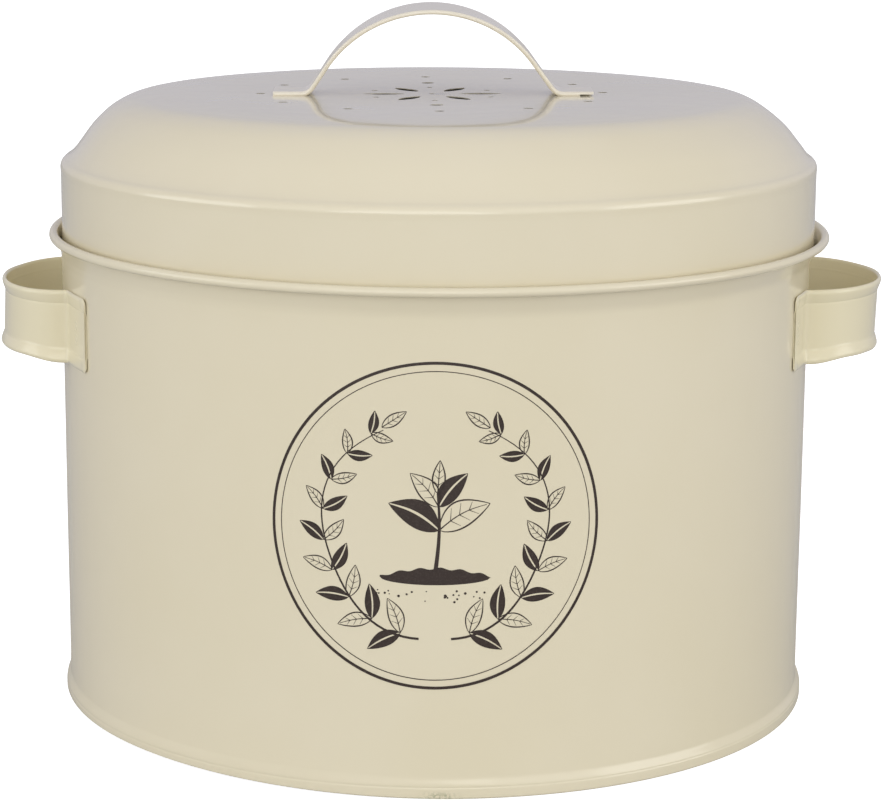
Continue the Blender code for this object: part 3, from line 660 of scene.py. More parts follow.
# Lid
# A pressed lid of the same painted sheet. Its top is a shallow dish with punched vents; outside that it
# curves down to a rounded bead and a straight skirt, whose hemmed edge drops into the drum's collar.
# As on the real one, dome, skirt and vents aren't quite concentric, and the lid sits a little askew.
LID_PROFILE = (
    (0.0, 0.19402), (0.020, 0.19404), (0.040, 0.19414), (0.055, 0.19428), (0.070, 0.19444),
    (0.080, 0.19448), (0.0865, 0.19440), (0.0925, 0.19418), (0.0977, 0.19362), (0.1022, 0.1917),
    (0.1065, 0.1887), (0.1109, 0.1846), (0.1145, 0.1800), (0.1171, 0.1767), (0.1185, 0.1753),
    (0.1197, 0.1745), (0.1204, 0.1737), (0.1207, 0.1726), (0.12065, 0.1713), (0.1206, 0.1702),
    (0.1206, 0.160), (0.1206, 0.1500), (0.1206, 0.1485),
)
LID_SHEET = 0.0003
LID_EDGE = 0.1477
LID_HEM_HEIGHT = 0.0028
LID_HEM_ROLL = 0.00052
# Each: height, how far the lid is off centre there
LID_SHIFTS = ((0.1726, 0.00080), (0.1780, 0.00120), (0.1840, 0.0010), (0.1900, 0.00045), (0.1940, 0.0006))
LID_TILT = 0.0026
TOP_TILT = 0.0026
LID_RAISE = 0.0001
VENT_CENTRE = (-0.00145, 0.00045)
VENT_TURN = 1.2
PETALS = 6
PETAL_INNER, PETAL_OUTER, PETAL_WIDTH = 0.0085, 0.0224, 0.0045
INNER_HOLE_CIRCLE, INNER_HOLE_RADIUS = 0.0210, 0.0010
OUTER_HOLES = 12
OUTER_HOLE_CIRCLE, OUTER_HOLE_RADIUS = 0.0548, 0.0015
POST_CIRCLE, POST_HOLE_RADIUS = 0.03535, 0.0021
POST_ANGLES = (90, 270)


def smooth_path(points, per_span):
    """A curve through the points, in a plane or in space."""
    fine = []
    count = len(points)
    for i in range(count - 1):
        p0, p1 = Vector(points[max(i - 1, 0)]), Vector(points[i])
        p2, p3 = Vector(points[i + 1]), Vector(points[min(i + 2, count - 1)])
        span = (p2 - p1).length
        before, after = max((p1 - p0).length, 1e-9), max((p3 - p2).length, 1e-9)
        pull_1 = (p2 - p0) / (before + span) * span if i else p2 - p1
        pull_2 = (p3 - p1) / (span + after) * span if i + 2 < count else p2 - p1
        for k in range(per_span):
            t = k / per_span
            fine.append(tuple(p1 * (2 * t ** 3 - 3 * t * t + 1) + pull_1 * (t ** 3 - 2 * t * t + t)
                              + p2 * (3 * t * t - 2 * t ** 3) + pull_2 * (t ** 3 - t * t)))
    fine.append(tuple(points[-1]))
    return fine


def inset(path, distance):
    """Moves a path sideways, to the right of its direction."""
    moved = []
    for i, point in enumerate(path):
        along = direction_at(path, i)
        side = Vector((along.y, -along.x)).normalized()
        moved.append(tuple(Vector(point) + side * distance))
    return moved


def prism(made, outline, low, high):
    """Adds an upright prism over an outline in the XY plane."""
    bottom = [made.verts.new((x, y, low)) for x, y in outline]
    top = [made.verts.new((x, y, high)) for x, y in outline]
    for k in range(len(outline)):
        n = (k + 1) % len(outline)
        made.faces.new((bottom[k], bottom[n], top[n], top[k]))
    made.faces.new(bottom[::-1])
    made.faces.new(top)


def carved(obj, cutters, sharp=40):
    """Cuts the closed shapes in the bmesh out of the object and keeps the result as its mesh."""
    bmesh.ops.recalc_face_normals(cutters, faces=cutters.faces)
    mesh = bpy.data.meshes.new("cutter")
    cutters.to_mesh(mesh)
    cutters.free()
    cutter = bpy.data.objects.new("cutter", mesh)
    bpy.context.collection.objects.link(cutter)
    modifier = obj.modifiers.new("cut", "BOOLEAN")
    modifier.operation = "DIFFERENCE"
    modifier.solver = "EXACT"
    modifier.object = cutter
    bpy.context.view_layer.update()
    graph = bpy.context.evaluated_depsgraph_get()
    obj.data = bpy.data.meshes.new_from_object(obj.evaluated_get(graph))
    obj.modifiers.clear()
    bpy.data.objects.remove(cutter, do_unlink=True)
    obj.data.shade_smooth()
    obj.data.set_sharp_from_angle(angle=math.radians(sharp))


def vent_place(radius, degrees):
    return spun(radius, 0.0, math.radians(degrees + VENT_TURN), VENT_CENTRE)


def petal(degrees, steps=12):
    """Outline of one long vent: a leaf with blunt points."""
    points = []
    angle = math.radians(degrees + VENT_TURN)
    for side in (-1, 1):
        for i in range(steps):
            along = i / steps if side < 0 else 1 - i / steps
            x = PETAL_INNER + (PETAL_OUTER - PETAL_INNER) * along
            y = side * PETAL_WIDTH / 2 * math.sin(math.pi * along) ** 0.7
            points.append(spun(x, y, angle, VENT_CENTRE))
    return points


def lid_dust_and_reflection(tree, colour):
    """A little greyer on the level top than on the sides: dust, and painted reflection of the grey surround.
    """
    where = object_place(tree)
    height = add_node(tree, "SeparateXYZ", {"Vector": where}).outputs["Z"]
    high = remap(tree, height, 0.1900, 0.1940, 0.0, 1.0, True)
    # The mottled grey mixed in here is dust and painted reflection of the grey surround.
    dust = remap(tree, scaled_noise(tree, where, 260.0, 4.0, 0.65), 0.35, 0.8, 0.10, 0.28)
    return mixed_colour(tree, product(tree, high, dust), colour, (0.66, 0.64, 0.62))


lid_outer = smooth_path(LID_PROFILE, 4)
lid_path = inset(lid_outer, LID_SHEET / 2)
skirt_line = lid_path[-1][0]
lid_path += arc((skirt_line - LID_HEM_ROLL, LID_EDGE + LID_HEM_ROLL), LID_HEM_ROLL, 0, -180, 8)
lid_path += [(skirt_line - 2 * LID_HEM_ROLL, LID_EDGE + LID_HEM_HEIGHT)]


def lid_shift(height):
    """How far the pressing is off centre at one height."""
    if height <= LID_SHIFTS[0][0]:
        return LID_SHIFTS[0][1]
    for (low, low_shift), (high, high_shift) in zip(LID_SHIFTS, LID_SHIFTS[1:]):
        if height <= high:
            return low_shift + (high_shift - low_shift) * (height - low) / (high - low)
    return LID_SHIFTS[-1][1]


def tip_with_lid(obj):
    """Tips a piece with the lid, whose right side sits slightly high, most of all near the handle."""
    for vert in obj.data.vertices:
        near = 1 - eased(math.hypot(vert.co.x, vert.co.y), 0.055, 0.095)
        vert.co.z += LID_RAISE + (LID_TILT + TOP_TILT * near) * vert.co.x


def shaded_punched_edge():
    """Thin paint on the punched holes' edges, darkened as painted shade, with darker specks where it hardly
    covers.
    """
    material, tree = new_material("shaded_punched_edge")
    noise = scaled_noise(tree, object_place(tree), 2600.0, 3.0, 0.7)
    specks = remap(tree, noise, 0.5, 0.75, 0.0, 0.6, True)
    # Both colours are darker than the lid's cream: painted shade inside the holes.
    colour = mixed_colour(tree, specks, (0.50, 0.46, 0.37), (0.36, 0.33, 0.26))
    rough = remap(tree, specks, 0.0, 0.6, 0.65, 0.45)
    return finished(material, colour, rough, product(tree, specks, 0.00002))


# The level top is greyed by dust and by painted reflection of the grey surround.
LID_PAINT = cream_paint("cream_paint_lid", wave=0.000007, wear_and_sheen=lid_dust_and_reflection, coat=0.55)
lid = piece("lid", turned(bent_sheet(lid_path, LID_SHEET), even_angles()), LID_PAINT)
for vert in lid.data.vertices:
    vert.co.x += lid_shift(vert.co.z)
vents = bmesh.new()
VENT_LOW, VENT_HIGH = 0.1920, 0.1960


def round_hole(cutters, circle, degrees, radius, low=VENT_LOW, high=VENT_HIGH):
    """A round cutter on a circle round the middle of the vents."""
    prism(cutters, arc(vent_place(circle, degrees), radius, 0, 345, 23), low, high)


for k in range(PETALS):
    prism(vents, petal(360 * k / PETALS), VENT_LOW, VENT_HIGH)
    round_hole(vents, INNER_HOLE_CIRCLE, 360 * (k + 0.5) / PETALS, INNER_HOLE_RADIUS)
for k in range(OUTER_HOLES):
    round_hole(vents, OUTER_HOLE_CIRCLE, 360 * k / OUTER_HOLES, OUTER_HOLE_RADIUS)
for degrees in POST_ANGLES:
    round_hole(vents, POST_CIRCLE, degrees, POST_HOLE_RADIUS)
round_hole(vents, 0.0, 0, INNER_HOLE_RADIUS)
carved(lid, vents)
# The vents' walls take the darker edge paint: painted shade inside the holes.
lid.data.materials.append(shaded_punched_edge())
for face in lid.data.polygons:
    in_vents = face.center.z > VENT_LOW and face.center.xy.length < OUTER_HOLE_CIRCLE + 0.004
    if in_vents and abs(face.normal.z) < 0.6:
        face.material_index = 1
tip_with_lid(lid)
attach(lid, "lid")
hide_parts("lid_shell")

# Lid handle
# A strap of sheet, cut broader in the middle, bent into an arch and folded over flat along both long edges.
# The middle of each foot is pressed down a little and spot-welded to the lid; at the front end of the right
# foot the fold's under side is clipped short, which leaves a gap.
STRAP_CENTRE = (-0.0018, 0.0004)
STRAP_YAW = math.radians(-0.74)
STRAP_APEX = 0.2220
STRAP_RADIUS = 0.0406
STRAP_ARCS = (57.0, 55.5)
STRAP_KNEES = (0.0393, 0.0400)
STRAP_BEND = 0.0022
STRAP_FOOT_ENDS = (-0.0502, 0.0515)
STRAP_CROWN_WIDTH = 0.0385
STRAP_FOOT_WIDTH = 0.0175
STRAP_SHEET = 0.0005
STRAP_FOLD = 0.00047
FOOT_OPENING = 0.00014
STRAP_UNDERFOLD = 0.0040
# Paler and cooler than the lid's cream: painted highlight and reflection on the handle's same cream paint.
STRAP_LIT_CREAM = (0.795, 0.742, 0.625)
STRAP_LIT_CREAM_DEEP = (0.775, 0.718, 0.590)
STRAP_FOOT_TOP = 0.19555
FOOT_DIP = 0.00022
CLIP_LENGTH = 0.0043
CLIP_HEIGHT = 0.00085


def strap_line(foot_end):
    """Half of the strap's outer face from the top of the arch to one foot's end: (x, z, dip, width)."""
    side = 1 if foot_end > 0 else -1
    turn, knee_place = STRAP_ARCS[foot_end > 0], STRAP_KNEES[foot_end > 0]
    knee_steps, foot_steps = 10, 12
    arch = arc((0.0, STRAP_APEX - STRAP_RADIUS), STRAP_RADIUS, 90, 90 - turn, 24)
    points = [(x, z, 0.0) for x, z in arch]
    knee = Vector((knee_place, STRAP_FOOT_TOP))
    leg = Vector(arch[-1]) - knee
    reach = leg.length + STRAP_RADIUS * math.radians(turn)
    leg.normalize()
    away = knee + Vector((STRAP_BEND, 0.0))
    for i in range(knee_steps + 1):
        t = i / knee_steps
        place = (knee + leg * STRAP_BEND) * (1 - t) ** 2 + knee * 2 * t * (1 - t) + away * t * t
        points.append((place.x, place.y, 0.0))
    flat_start = knee_place + STRAP_BEND
    for i in range(1, foot_steps + 1):
        t = i / foot_steps
        dip = 0.5 - 0.5 * math.cos(2 * math.pi * t ** 0.8)
        points.append((flat_start + (abs(foot_end) - flat_start) * t, STRAP_FOOT_TOP, dip))
    travelled = 0.0
    line = []
    for i, (x, z, dip) in enumerate(points):
        if i:
            travelled += (Vector((x, z)) - Vector(points[i - 1][:2])).length
        taper = (STRAP_CROWN_WIDTH - STRAP_FOOT_WIDTH) * min(travelled / reach, 1.0) ** 2
        line.append((side * x, z, dip, STRAP_CROWN_WIDTH - taper))
    return line


def strap_section(width, dip, fold):
    """Middle of the sheet across half of the strap: (place across, depth), ending under the folded edge."""
    flat = width / 2 - STRAP_SHEET / 2 - fold
    row = []
    for share in (0.0, 0.15, 0.3, 0.45, 0.6, 0.75, 0.9, 1.0):
        across = flat * share
        sink = FOOT_DIP * dip * (0.5 + 0.5 * math.cos(math.pi * min(across / (flat - 0.0015), 1.0)))
        row.append((across, sink))
    for i in range(1, 11):
        angle = math.radians(18 * i)
        row.append((flat + fold * math.sin(angle), fold - fold * math.cos(angle)))
    row.append((flat - STRAP_UNDERFOLD / 2, 2 * fold - 0.00002))
    row.append((flat - STRAP_UNDERFOLD, 2 * fold - 0.00006))
    return row


def make_strap():
    line = strap_line(STRAP_FOOT_ENDS[0])[::-1] + strap_line(STRAP_FOOT_ENDS[1])[1:]
    made = bmesh.new()
    rings = []
    for i, (x, z, dip, width) in enumerate(line):
        along = direction_at([place[:2] for place in line], i).normalized()
        down = Vector((along.y, -along.x))
        in_foot = eased(abs(x), STRAP_KNEES[0] - STRAP_BEND, STRAP_KNEES[1] + STRAP_BEND)
        section = strap_section(width, dip, STRAP_FOLD + FOOT_OPENING * in_foot)
        half_row = [(across, depth + STRAP_SHEET / 2) for across, depth in section]
        row = [(-across, depth) for across, depth in half_row[::-1]] + half_row[1:]
        ring = []
        for across, depth in bent_sheet(row, STRAP_SHEET):
            spot = Vector((x, z)) + down * depth
            ring.append(made.verts.new((spot.x, across, spot.y)))
        rings.append(ring)
    joined(made, rings)
    for ring in (rings[0], rings[-1]):
        count = len(ring)
        for k in range(count // 2 - 1):
            made.faces.new((ring[k], ring[k + 1], ring[count - 2 - k], ring[count - 1 - k]))
    return made


def merged(made, other):
    """Adds one bmesh to another."""
    mesh = bpy.data.meshes.new("part")
    other.to_mesh(mesh)
    other.free()
    made.from_mesh(mesh)
    bpy.data.meshes.remove(mesh)


# The handle's cream is a lit copy: painted highlight and reflection.
STRAP_LIT_PAINT = cream_paint("cream_paint_strap_lit", wave=0.000008, pale=STRAP_LIT_CREAM, deep=STRAP_LIT_CREAM_DEEP)
strap = piece("lid_strap", make_strap(), STRAP_LIT_PAINT, sharp=50)
clip = bmesh.new()
clip_end = STRAP_FOOT_ENDS[1] + 0.001
clip_start = STRAP_FOOT_ENDS[1] - CLIP_LENGTH
clip_front = -STRAP_FOOT_WIDTH / 2
under_side = STRAP_FOOT_TOP - STRAP_SHEET - 2 * (STRAP_FOLD + FOOT_OPENING)
outline = [(clip_start, clip_front - 0.001), (clip_end, clip_front - 0.001),
           (clip_end, clip_front + 0.006), (clip_start, clip_front + 0.006)]
prism(clip, outline, under_side - 0.001, under_side + CLIP_HEIGHT)
carved(strap, clip, 50)
weld_made = bmesh.new()
for x in (-0.0456, 0.0466):
    for y in (-0.0036, 0.0036):
        depth = STRAP_FOOT_TOP - FOOT_DIP
        profile = [(0.0, depth - 0.00008), (0.0008, depth - 0.00003), (0.0013, depth + 0.00007),
                   (0.0018, depth + 0.00004), (0.0021, depth - 0.0001), (0.0, depth - 0.0003)]
        spot = turned(profile, even_angles(24))
        bmesh.ops.translate(spot, verts=spot.verts, vec=(x, y, 0.0))
        merged(weld_made, spot)
strap_welds = piece("lid_strap_welds", weld_made, cream_paint("cream_paint_weld"))
strap_turn = Matrix.Translation((*STRAP_CENTRE, 0.0)) @ Matrix.Rotation(STRAP_YAW, 4, "Z")
for obj in (strap, strap_welds):
    obj.data.transform(strap_turn)
    tip_with_lid(obj)
    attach(obj, "lid")
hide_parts("lid_handle")

# Side handles
# Two straps of sheet, bent by hand, so that neither is quite even. Their upper and lower edges are folded
# over outward into soft hems that bulge by about a millimetre. The feet hug the drum and are spot-welded to
# it, with the hem ends standing slightly off it.
LOOP_HALF_SPAN = 0.0347
LOOP_MIDDLE = 0.1250
LOOP_HALF_HEIGHT = 0.0113
HEM_BULGE = 0.00095
HEM_HEIGHT = 0.0040
HEM_GAP = 0.0003
# Each: side, reach at the top, reach at the bottom, degrees to the foot's end at the front and at the back,
# and how far the upper edge is off its level at the foot, at the outer end and along the back half
LOOPS = (
    ("left", -1, 0.13955, 0.1404, 26.3, 25.6, 0.0, 0.0, -0.0005),
    ("right", 1, 0.1444, 0.1437, 24.2, 25.4, 0.0006, 0.0009, -0.0004),
)
WELD_ANGLE = 22.0
WELD_RISES = (-0.0026, 0.0015)
# Brighter and yellower than the drum's cream: painted light on the side handles' same cream paint.
LOOP_LIT_CREAM = (0.790, 0.726, 0.520)
LOOP_LIT_CREAM_DEEP = (0.770, 0.704, 0.490)


def curve_between(start, pull_1, pull_2, end, steps):
    """Points after the start on a curve that leaves toward pull_1 and arrives from pull_2."""
    for i in range(1, steps + 1):
        t = i / steps
        s = 1 - t
        yield t, start * s ** 3 + pull_1 * 3 * t * s ** 2 + pull_2 * 3 * t * t * s + end * t ** 3


def loop_half(reach, foot_angle):
    """Half of the strap's inner face from above, from a foot's end to the middle of the loop.

    Gives (x, y, share of the hem's bulge, distance in from the foot's end).
    """
    face = BODY_RADIUS + 0.00006
    leave = math.degrees(math.asin((LOOP_HALF_SPAN + 0.0006) / face)) + 1.3
    clear_of_foot = 0.02
    foot_steps, corner_steps, loop_steps = 14, 12, 36
    points = []
    for i in range(foot_steps + 1):
        t = i / foot_steps
        angle = math.radians(foot_angle + (leave - foot_angle) * t)
        points.append((face * math.cos(angle), face * math.sin(angle), 0.25 + 0.35 * t,
                       face * (math.radians(foot_angle) - angle)))
    start = Vector(points[-1][:2])
    start_way = Vector((math.sin(math.radians(leave)), -math.cos(math.radians(leave))))
    loop_x = face * math.cos(math.radians(leave)) + 0.0050
    end = Vector((loop_x, LOOP_HALF_SPAN))
    bend = 0.0034
    end_pull = end - Vector((bend, 0.0))
    for t, spot in curve_between(start, start + start_way * bend, end_pull, end, corner_steps):
        points.append((spot.x, spot.y, 0.60 + 0.40 * t, clear_of_foot))
    for i in range(1, loop_steps + 1):
        angle = math.radians(90 * (1 - i / loop_steps))
        points.append((loop_x + (reach - HEM_BULGE - SHEET - loop_x) * math.cos(angle),
                       LOOP_HALF_SPAN * math.sin(angle), 1.0, clear_of_foot))
    return points


def loop_section():
    """Section of the strap: (distance out from its inner face, hem share, height from the middle)."""
    half = LOOP_HALF_HEIGHT
    crease = half - 0.0040
    inner = [(0.0, 0.0, crease - 0.0008), (0.0, 0.0, crease - 0.0003), (-0.00006, 0.0, crease),
             (0.0, 0.0, crease + 0.0003), (0.0, 0.0, crease + 0.0008), (0.0, 0.0, half - 0.0014),
             (0.00003, 0.0, half - 0.0009), (0.00012, 0.0, half - 0.0004)]
    hem = []
    steps = 18
    for i in range(1, steps + 1):
        t = i / steps
        angle = math.pi * t ** 0.6
        swell = max(math.sin(angle), 0.0) ** (0.8 if angle < math.pi / 2 else 1.7)
        hem.append((SHEET * min(t * 3, 1.0), swell, half - HEM_HEIGHT * (0.5 - 0.5 * math.cos(math.pi * t))))
    fold_edge = half - HEM_HEIGHT
    line = [(SHEET - 0.00006, 0.0, fold_edge - 0.00012), (SHEET, 0.0, fold_edge - 0.0004)]
    level = [(SHEET, 0.0, fold_edge - 0.0010)]
    upper = inner + hem + line + level
    lower = [(out, share, -height) for out, share, height in (inner + hem + level)[::-1]]
    return upper + [(SHEET, 0.0, 0.0)] + lower + [(0.0, 0.0, 0.0)]


def bottom_line(out):
    """How far the lower edge is off its level: low at the foot, high a quarter of the way round the loop."""
    return -0.0006 + 0.0017 * eased(out, 0.1170, 0.1300) - 0.0004 * eased(out, 0.1360, 0.1410)


def make_loop(side, reach_top, reach_bottom, front_angle, back_angle, foot_rise, end_rise, back_rise):
    section = loop_section()
    halves = []
    for reach in (reach_top, reach_bottom):
        front = loop_half(reach, front_angle)
        back = loop_half(reach, back_angle)
        halves.append([(x, -y, hem, inward) for x, y, hem, inward in front] + back[-2::-1])
    plan_top, plan_bottom = halves
    made = bmesh.new()
    rings = []
    for i, (a, b) in enumerate(zip(plan_top, plan_bottom)):
        along = direction_at([place[:2] for place in plan_top], i).normalized()
        normal = Vector((along.y, -along.x))
        edge = max(a[3], 0.0)
        round_off = max(0.0, 1 - edge / 0.0018)
        raised = foot_rise + (end_rise - foot_rise) * eased(a[0], 0.113, 0.138)
        raised += back_rise * eased(a[1], 0.0, 0.020) * eased(a[0], 0.110, 0.122)
        ring = []
        for out, hem, rise in section:
            low = 0.5 - 0.5 * rise / LOOP_HALF_HEIGHT
            x, y = a[0] + (b[0] - a[0]) * low, a[1] + (b[1] - a[1]) * low
            fold_edge = LOOP_HALF_HEIGHT - HEM_HEIGHT
            in_hem = eased(abs(rise), fold_edge - 0.0006, fold_edge + 0.0012)
            lift = HEM_GAP * in_hem * (1 - eased(edge, 0.0, 0.0045))
            height = rise * (1 - 0.10 * round_off ** 2) + raised * (1 - low) + bottom_line(a[0]) * low
            spot = Vector((x, y)) + normal * (out * (1 - 0.5 * round_off) + HEM_BULGE * a[2] * hem + lift)
            ring.append(made.verts.new((side * spot.x, spot.y, LOOP_MIDDLE + height)))
        rings.append(ring)
    joined(made, rings)
    for ring in (rings[0], rings[-1]):
        face = made.faces.new(ring)
        bmesh.ops.triangulate(made, faces=[face])
    return made


# The side handles' cream is a lit copy: painted light.
LOOP_LIT_PAINT = cream_paint("cream_paint_loops_lit", wave=0.000008, pale=LOOP_LIT_CREAM, deep=LOOP_LIT_CREAM_DEEP)
for tag, side, *shape in LOOPS:
    loop = piece("loop_" + tag, make_loop(side, *shape), LOOP_LIT_PAINT, 50)
    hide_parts("side_handle_" + tag)
    welds = bmesh.new()
    for way in (-1, 1):
        for rise in WELD_RISES:
            profile = [(0.0, 0.00016), (0.0006, 0.00010), (0.0010, -0.0001), (0.0013, 0.00008),
                       (0.0017, 0.0001), (0.0021, -0.0001), (0.0, -0.0003)]
            spot = turned(profile, even_angles(20))
            bmesh.ops.transform(spot, matrix=Matrix.Rotation(math.radians(90), 4, "Y"), verts=spot.verts)
            out = BODY_RADIUS + SHEET + 0.00002
            bmesh.ops.translate(spot, verts=spot.verts, vec=(out, 0.0, LOOP_MIDDLE + rise + shape[4]))
            angle = math.radians(WELD_ANGLE) * way
            heading = angle if side > 0 else math.pi - angle
            bmesh.ops.transform(spot, matrix=Matrix.Rotation(heading, 4, "Z"), verts=spot.verts)
            merged(welds, spot)
    loop_welds = piece("loop_welds_" + tag, welds, LOOP_LIT_PAINT)
    for obj in (loop, loop_welds):
        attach(obj, "bin")

# Filter holder
# A black injection-moulded dish under the lid, with a slotted floor, a rolled lip and two split snap posts
# that show as dark dots in two holes of the lid's top.
FILTER_TOP = 0.1934
FILTER_RADIUS = 0.0617
FILTER_THICKNESS = 0.0060
HOLDER_WALL = 0.0016
HOLDER_FLOOR = FILTER_TOP - FILTER_THICKNESS - SEAT_GAP
HOLDER_SLOTS = 12


def build_mould_grain():
    """Spark-eroded grain of the mould, faint flow clouds and rubbed-pale high spots."""
    group, given = effect_group("mould_grain", {"Grain Scale": 1500.0, "Grain Height": 0.000012})
    where = object_place(group)
    fine = scaled_noise(group, where, given["Grain Scale"], 2.0, 0.6)
    flow = remap(group, scaled_noise(group, where, 18.0, 3.0, 0.6), 0.3, 0.7)
    rubbed = remap(group, fine, 0.55, 0.8, 0.0, 0.5, True)
    tone = math_node(group, "ADD", product(group, flow, 0.6), rubbed, True)
    return close_group(group, tone, remap(group, fine, 0.3, 0.7), product(group, fine, given["Grain Height"]))


MOULD_GRAIN = build_mould_grain()


def moulded_plastic(name, deep, pale, rough, grain_height, grain_scale):
    """Moulded plastic, from its deep colour to its rubbed, paler one."""
    material, tree = new_material(name)
    look = {"Grain Scale": grain_scale, "Grain Height": grain_height}
    grain = add_node(tree, "Group", look, node_tree=MOULD_GRAIN).outputs
    gloss = remap(tree, grain["Gloss Loss"], 0.0, 1.0, rough - 0.06, rough + 0.08)
    return finished(material, mixed_colour(tree, grain["Tone"], deep, pale), gloss, grain["Height"],
                    more={"IOR": 1.49})


BLACK_PLASTIC = moulded_plastic("black_plastic", (0.012, 0.012, 0.013), (0.030, 0.030, 0.032), 0.42,
                                0.000012, 1500.0)
holder_outer = FILTER_RADIUS + SEAT_GAP + HOLDER_WALL
holder_inner = holder_outer - HOLDER_WALL
holder_low = HOLDER_FLOOR - HOLDER_WALL
holder_section = [(0.0, HOLDER_FLOOR), (0.0, holder_low - 0.0004), (0.0090, holder_low - 0.0004),
                  (0.0098, holder_low), (0.0560, holder_low)]
holder_section += arc((holder_outer - 0.0022, holder_low + 0.0022), 0.0022, -90, 0, 8)
holder_section += [(holder_outer, FILTER_TOP - 0.0016)]
holder_section += arc((holder_outer - 0.0002, FILTER_TOP - 0.0009), 0.0006, -50, 90, 8)
holder_section += [(holder_inner + 0.0004, FILTER_TOP - 0.0003), (holder_inner, FILTER_TOP - 0.0008),
                   (holder_inner, HOLDER_FLOOR + 0.0004), (holder_inner - 0.0004, HOLDER_FLOOR)]
holder = piece("filter_dish", turned(holder_section, even_angles(144)), BLACK_PLASTIC)
slots = bmesh.new()
for k in range(HOLDER_SLOTS):
    angle = math.radians(360 * (k + 0.5) / HOLDER_SLOTS)
    outline = arc((0.0531, 0.0), 0.0019, -90, 90, 10) + arc((0.0169, 0.0), 0.0019, 90, 270, 10)
    prism(slots, [spun(x, y, angle) for x, y in outline], holder_low - 0.001, HOLDER_FLOOR + 0.001)
carved(holder, slots)
POST_TOP = 0.19398
POST_RADIUS = 0.0019
POST_FOOT_RADIUS = 0.0024
SPLIT_HALF_LENGTH = 0.0030
SPLIT_HALF_WIDTH = 0.0003
posts, splits = bmesh.new(), bmesh.new()
for degrees in POST_ANGLES:
    post_x, post_y = vent_place(POST_CIRCLE, degrees)
    shape = [(0.0, HOLDER_FLOOR - 0.0002), (POST_FOOT_RADIUS, HOLDER_FLOOR - 0.0002),
             (POST_FOOT_RADIUS, HOLDER_FLOOR + 0.0004), (POST_RADIUS, HOLDER_FLOOR + 0.0030),
             (POST_RADIUS, POST_TOP - 0.0005), (POST_RADIUS - 0.0001, POST_TOP - 0.00015),
             (POST_RADIUS - 0.0004, POST_TOP - 0.00003), (0.0, POST_TOP)]
    post = turned(shape, even_angles(28))
    bmesh.ops.translate(post, verts=post.verts, vec=(post_x, post_y, 0.0))
    merged(posts, post)
    outline = [(post_x + x * SPLIT_HALF_LENGTH, post_y + y * SPLIT_HALF_WIDTH) for x, y in corners]
    prism(splits, outline, POST_TOP - 0.0040, POST_TOP + 0.001)
snap_posts = piece("snap_posts", posts, BLACK_PLASTIC)
carved(snap_posts, splits)
for obj in (holder, snap_posts):
    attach(obj, "filter_dish")
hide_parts("filter_holder")

# Carbon filter
# A round pad cut from open, carbon-loaded foam, lying loose in the holder. It has a slightly ragged cut edge
# and two holes for the posts.
pad_low = FILTER_TOP - FILTER_THICKNESS


def pad_edge(degrees, radius, height):
    """The ragged cut: how far the pad's edge is pulled in at one place."""
    if radius < FILTER_RADIUS - 0.002:
        return 0.0
    angle = math.radians(degrees)
    coarse = math.sin(17 * angle + height * 2500)
    return -0.00012 - 0.00010 * coarse - 0.00008 * math.sin(41 * angle - height * 3900)


def carbon_foam():
    """Dull black foam, with painted shade in its pores, so the webs between them look paler."""
    material, tree = new_material("carbon_foam")
    where = object_place(tree)
    cells = add_node(tree, "TexVoronoi", {"Scale": 850.0, "Vector": where}).outputs["Distance"]
    pore_pit_and_shade = remap(tree, cells, 0.15, 0.55, 0.0, 1.0, True)
    fibre = scaled_noise(tree, where, 2400.0, 2.0, 0.7)
    # Darker in the low pits of the pores: painted shade.
    colour = mixed_colour(tree, pore_pit_and_shade, (0.004, 0.004, 0.0042), (0.034, 0.034, 0.035))
    height = math_node(tree, "ADD", product(tree, pore_pit_and_shade, 0.00025), product(tree, fibre, 0.00005))
    return finished(material, colour, remap(tree, fibre, 0.3, 0.7, 0.82, 0.98), height, 0.8)


pad_section = [(0.0, FILTER_TOP), (0.0, pad_low)]
pad_section += [(FILTER_RADIUS - inward, pad_low + up) for inward, up in
                ((0.0010, 0.0), (0.0003, 0.0003), (0.0, 0.0012), (0.0002, 0.0030))]
pad_section += [(FILTER_RADIUS - inward, FILTER_TOP - down) for inward, down in
                ((0.0, 0.0012), (0.0003, 0.0003), (0.0010, 0.0))]
pad = piece("filter_pad", turned(pad_section, even_angles(180), pad_edge), carbon_foam())
pad_holes = bmesh.new()
for degrees in POST_ANGLES:
    round_hole(pad_holes, POST_CIRCLE, degrees, POST_HOLE_RADIUS, pad_low - 0.001, FILTER_TOP + 0.001)
carved(pad, pad_holes)
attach(pad, "filter")
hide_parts("carbon_filter")

# Inner bucket
# A tapered lift-out bucket moulded in dark grey plastic, with a rolled-down lip, a pierced ear on each side,
# a shallow step in its wall for nesting, and a foot ring under its floor.
BUCKET_RIM_HEIGHT = 0.1460
BUCKET_RIM_RADIUS = 0.1165
BUCKET_TOP_RADIUS = 0.1135
BUCKET_FOOT_RADIUS = 0.1070
BUCKET_WALL = 0.0020
BUCKET_FLOOR = 0.0048
EAR_OUTER = 0.1117
EAR_THICKNESS = 0.0040
EAR_TOP = 0.1535
BAIL_AXIS = 0.1478
BAIL_WIRE = 0.0015
PIVOT_GAP = 0.00025

GREY_PLASTIC = moulded_plastic("grey_plastic", (0.070, 0.074, 0.078), (0.110, 0.114, 0.118), 0.55,
                               0.00004, 900.0)
wall_slope = (BUCKET_TOP_RADIUS - BUCKET_FOOT_RADIUS) / (BUCKET_RIM_HEIGHT - BUCKET_FLOOR)
NEST_STEP = 0.1180


def bucket_radius(height):
    """Outside of the wall, a little wider above the nesting step."""
    line = BUCKET_FOOT_RADIUS + wall_slope * (height - BUCKET_FLOOR)
    return line - 0.0006 * (1 - min(max((height - NEST_STEP) / 0.003, 0.0), 1.0))


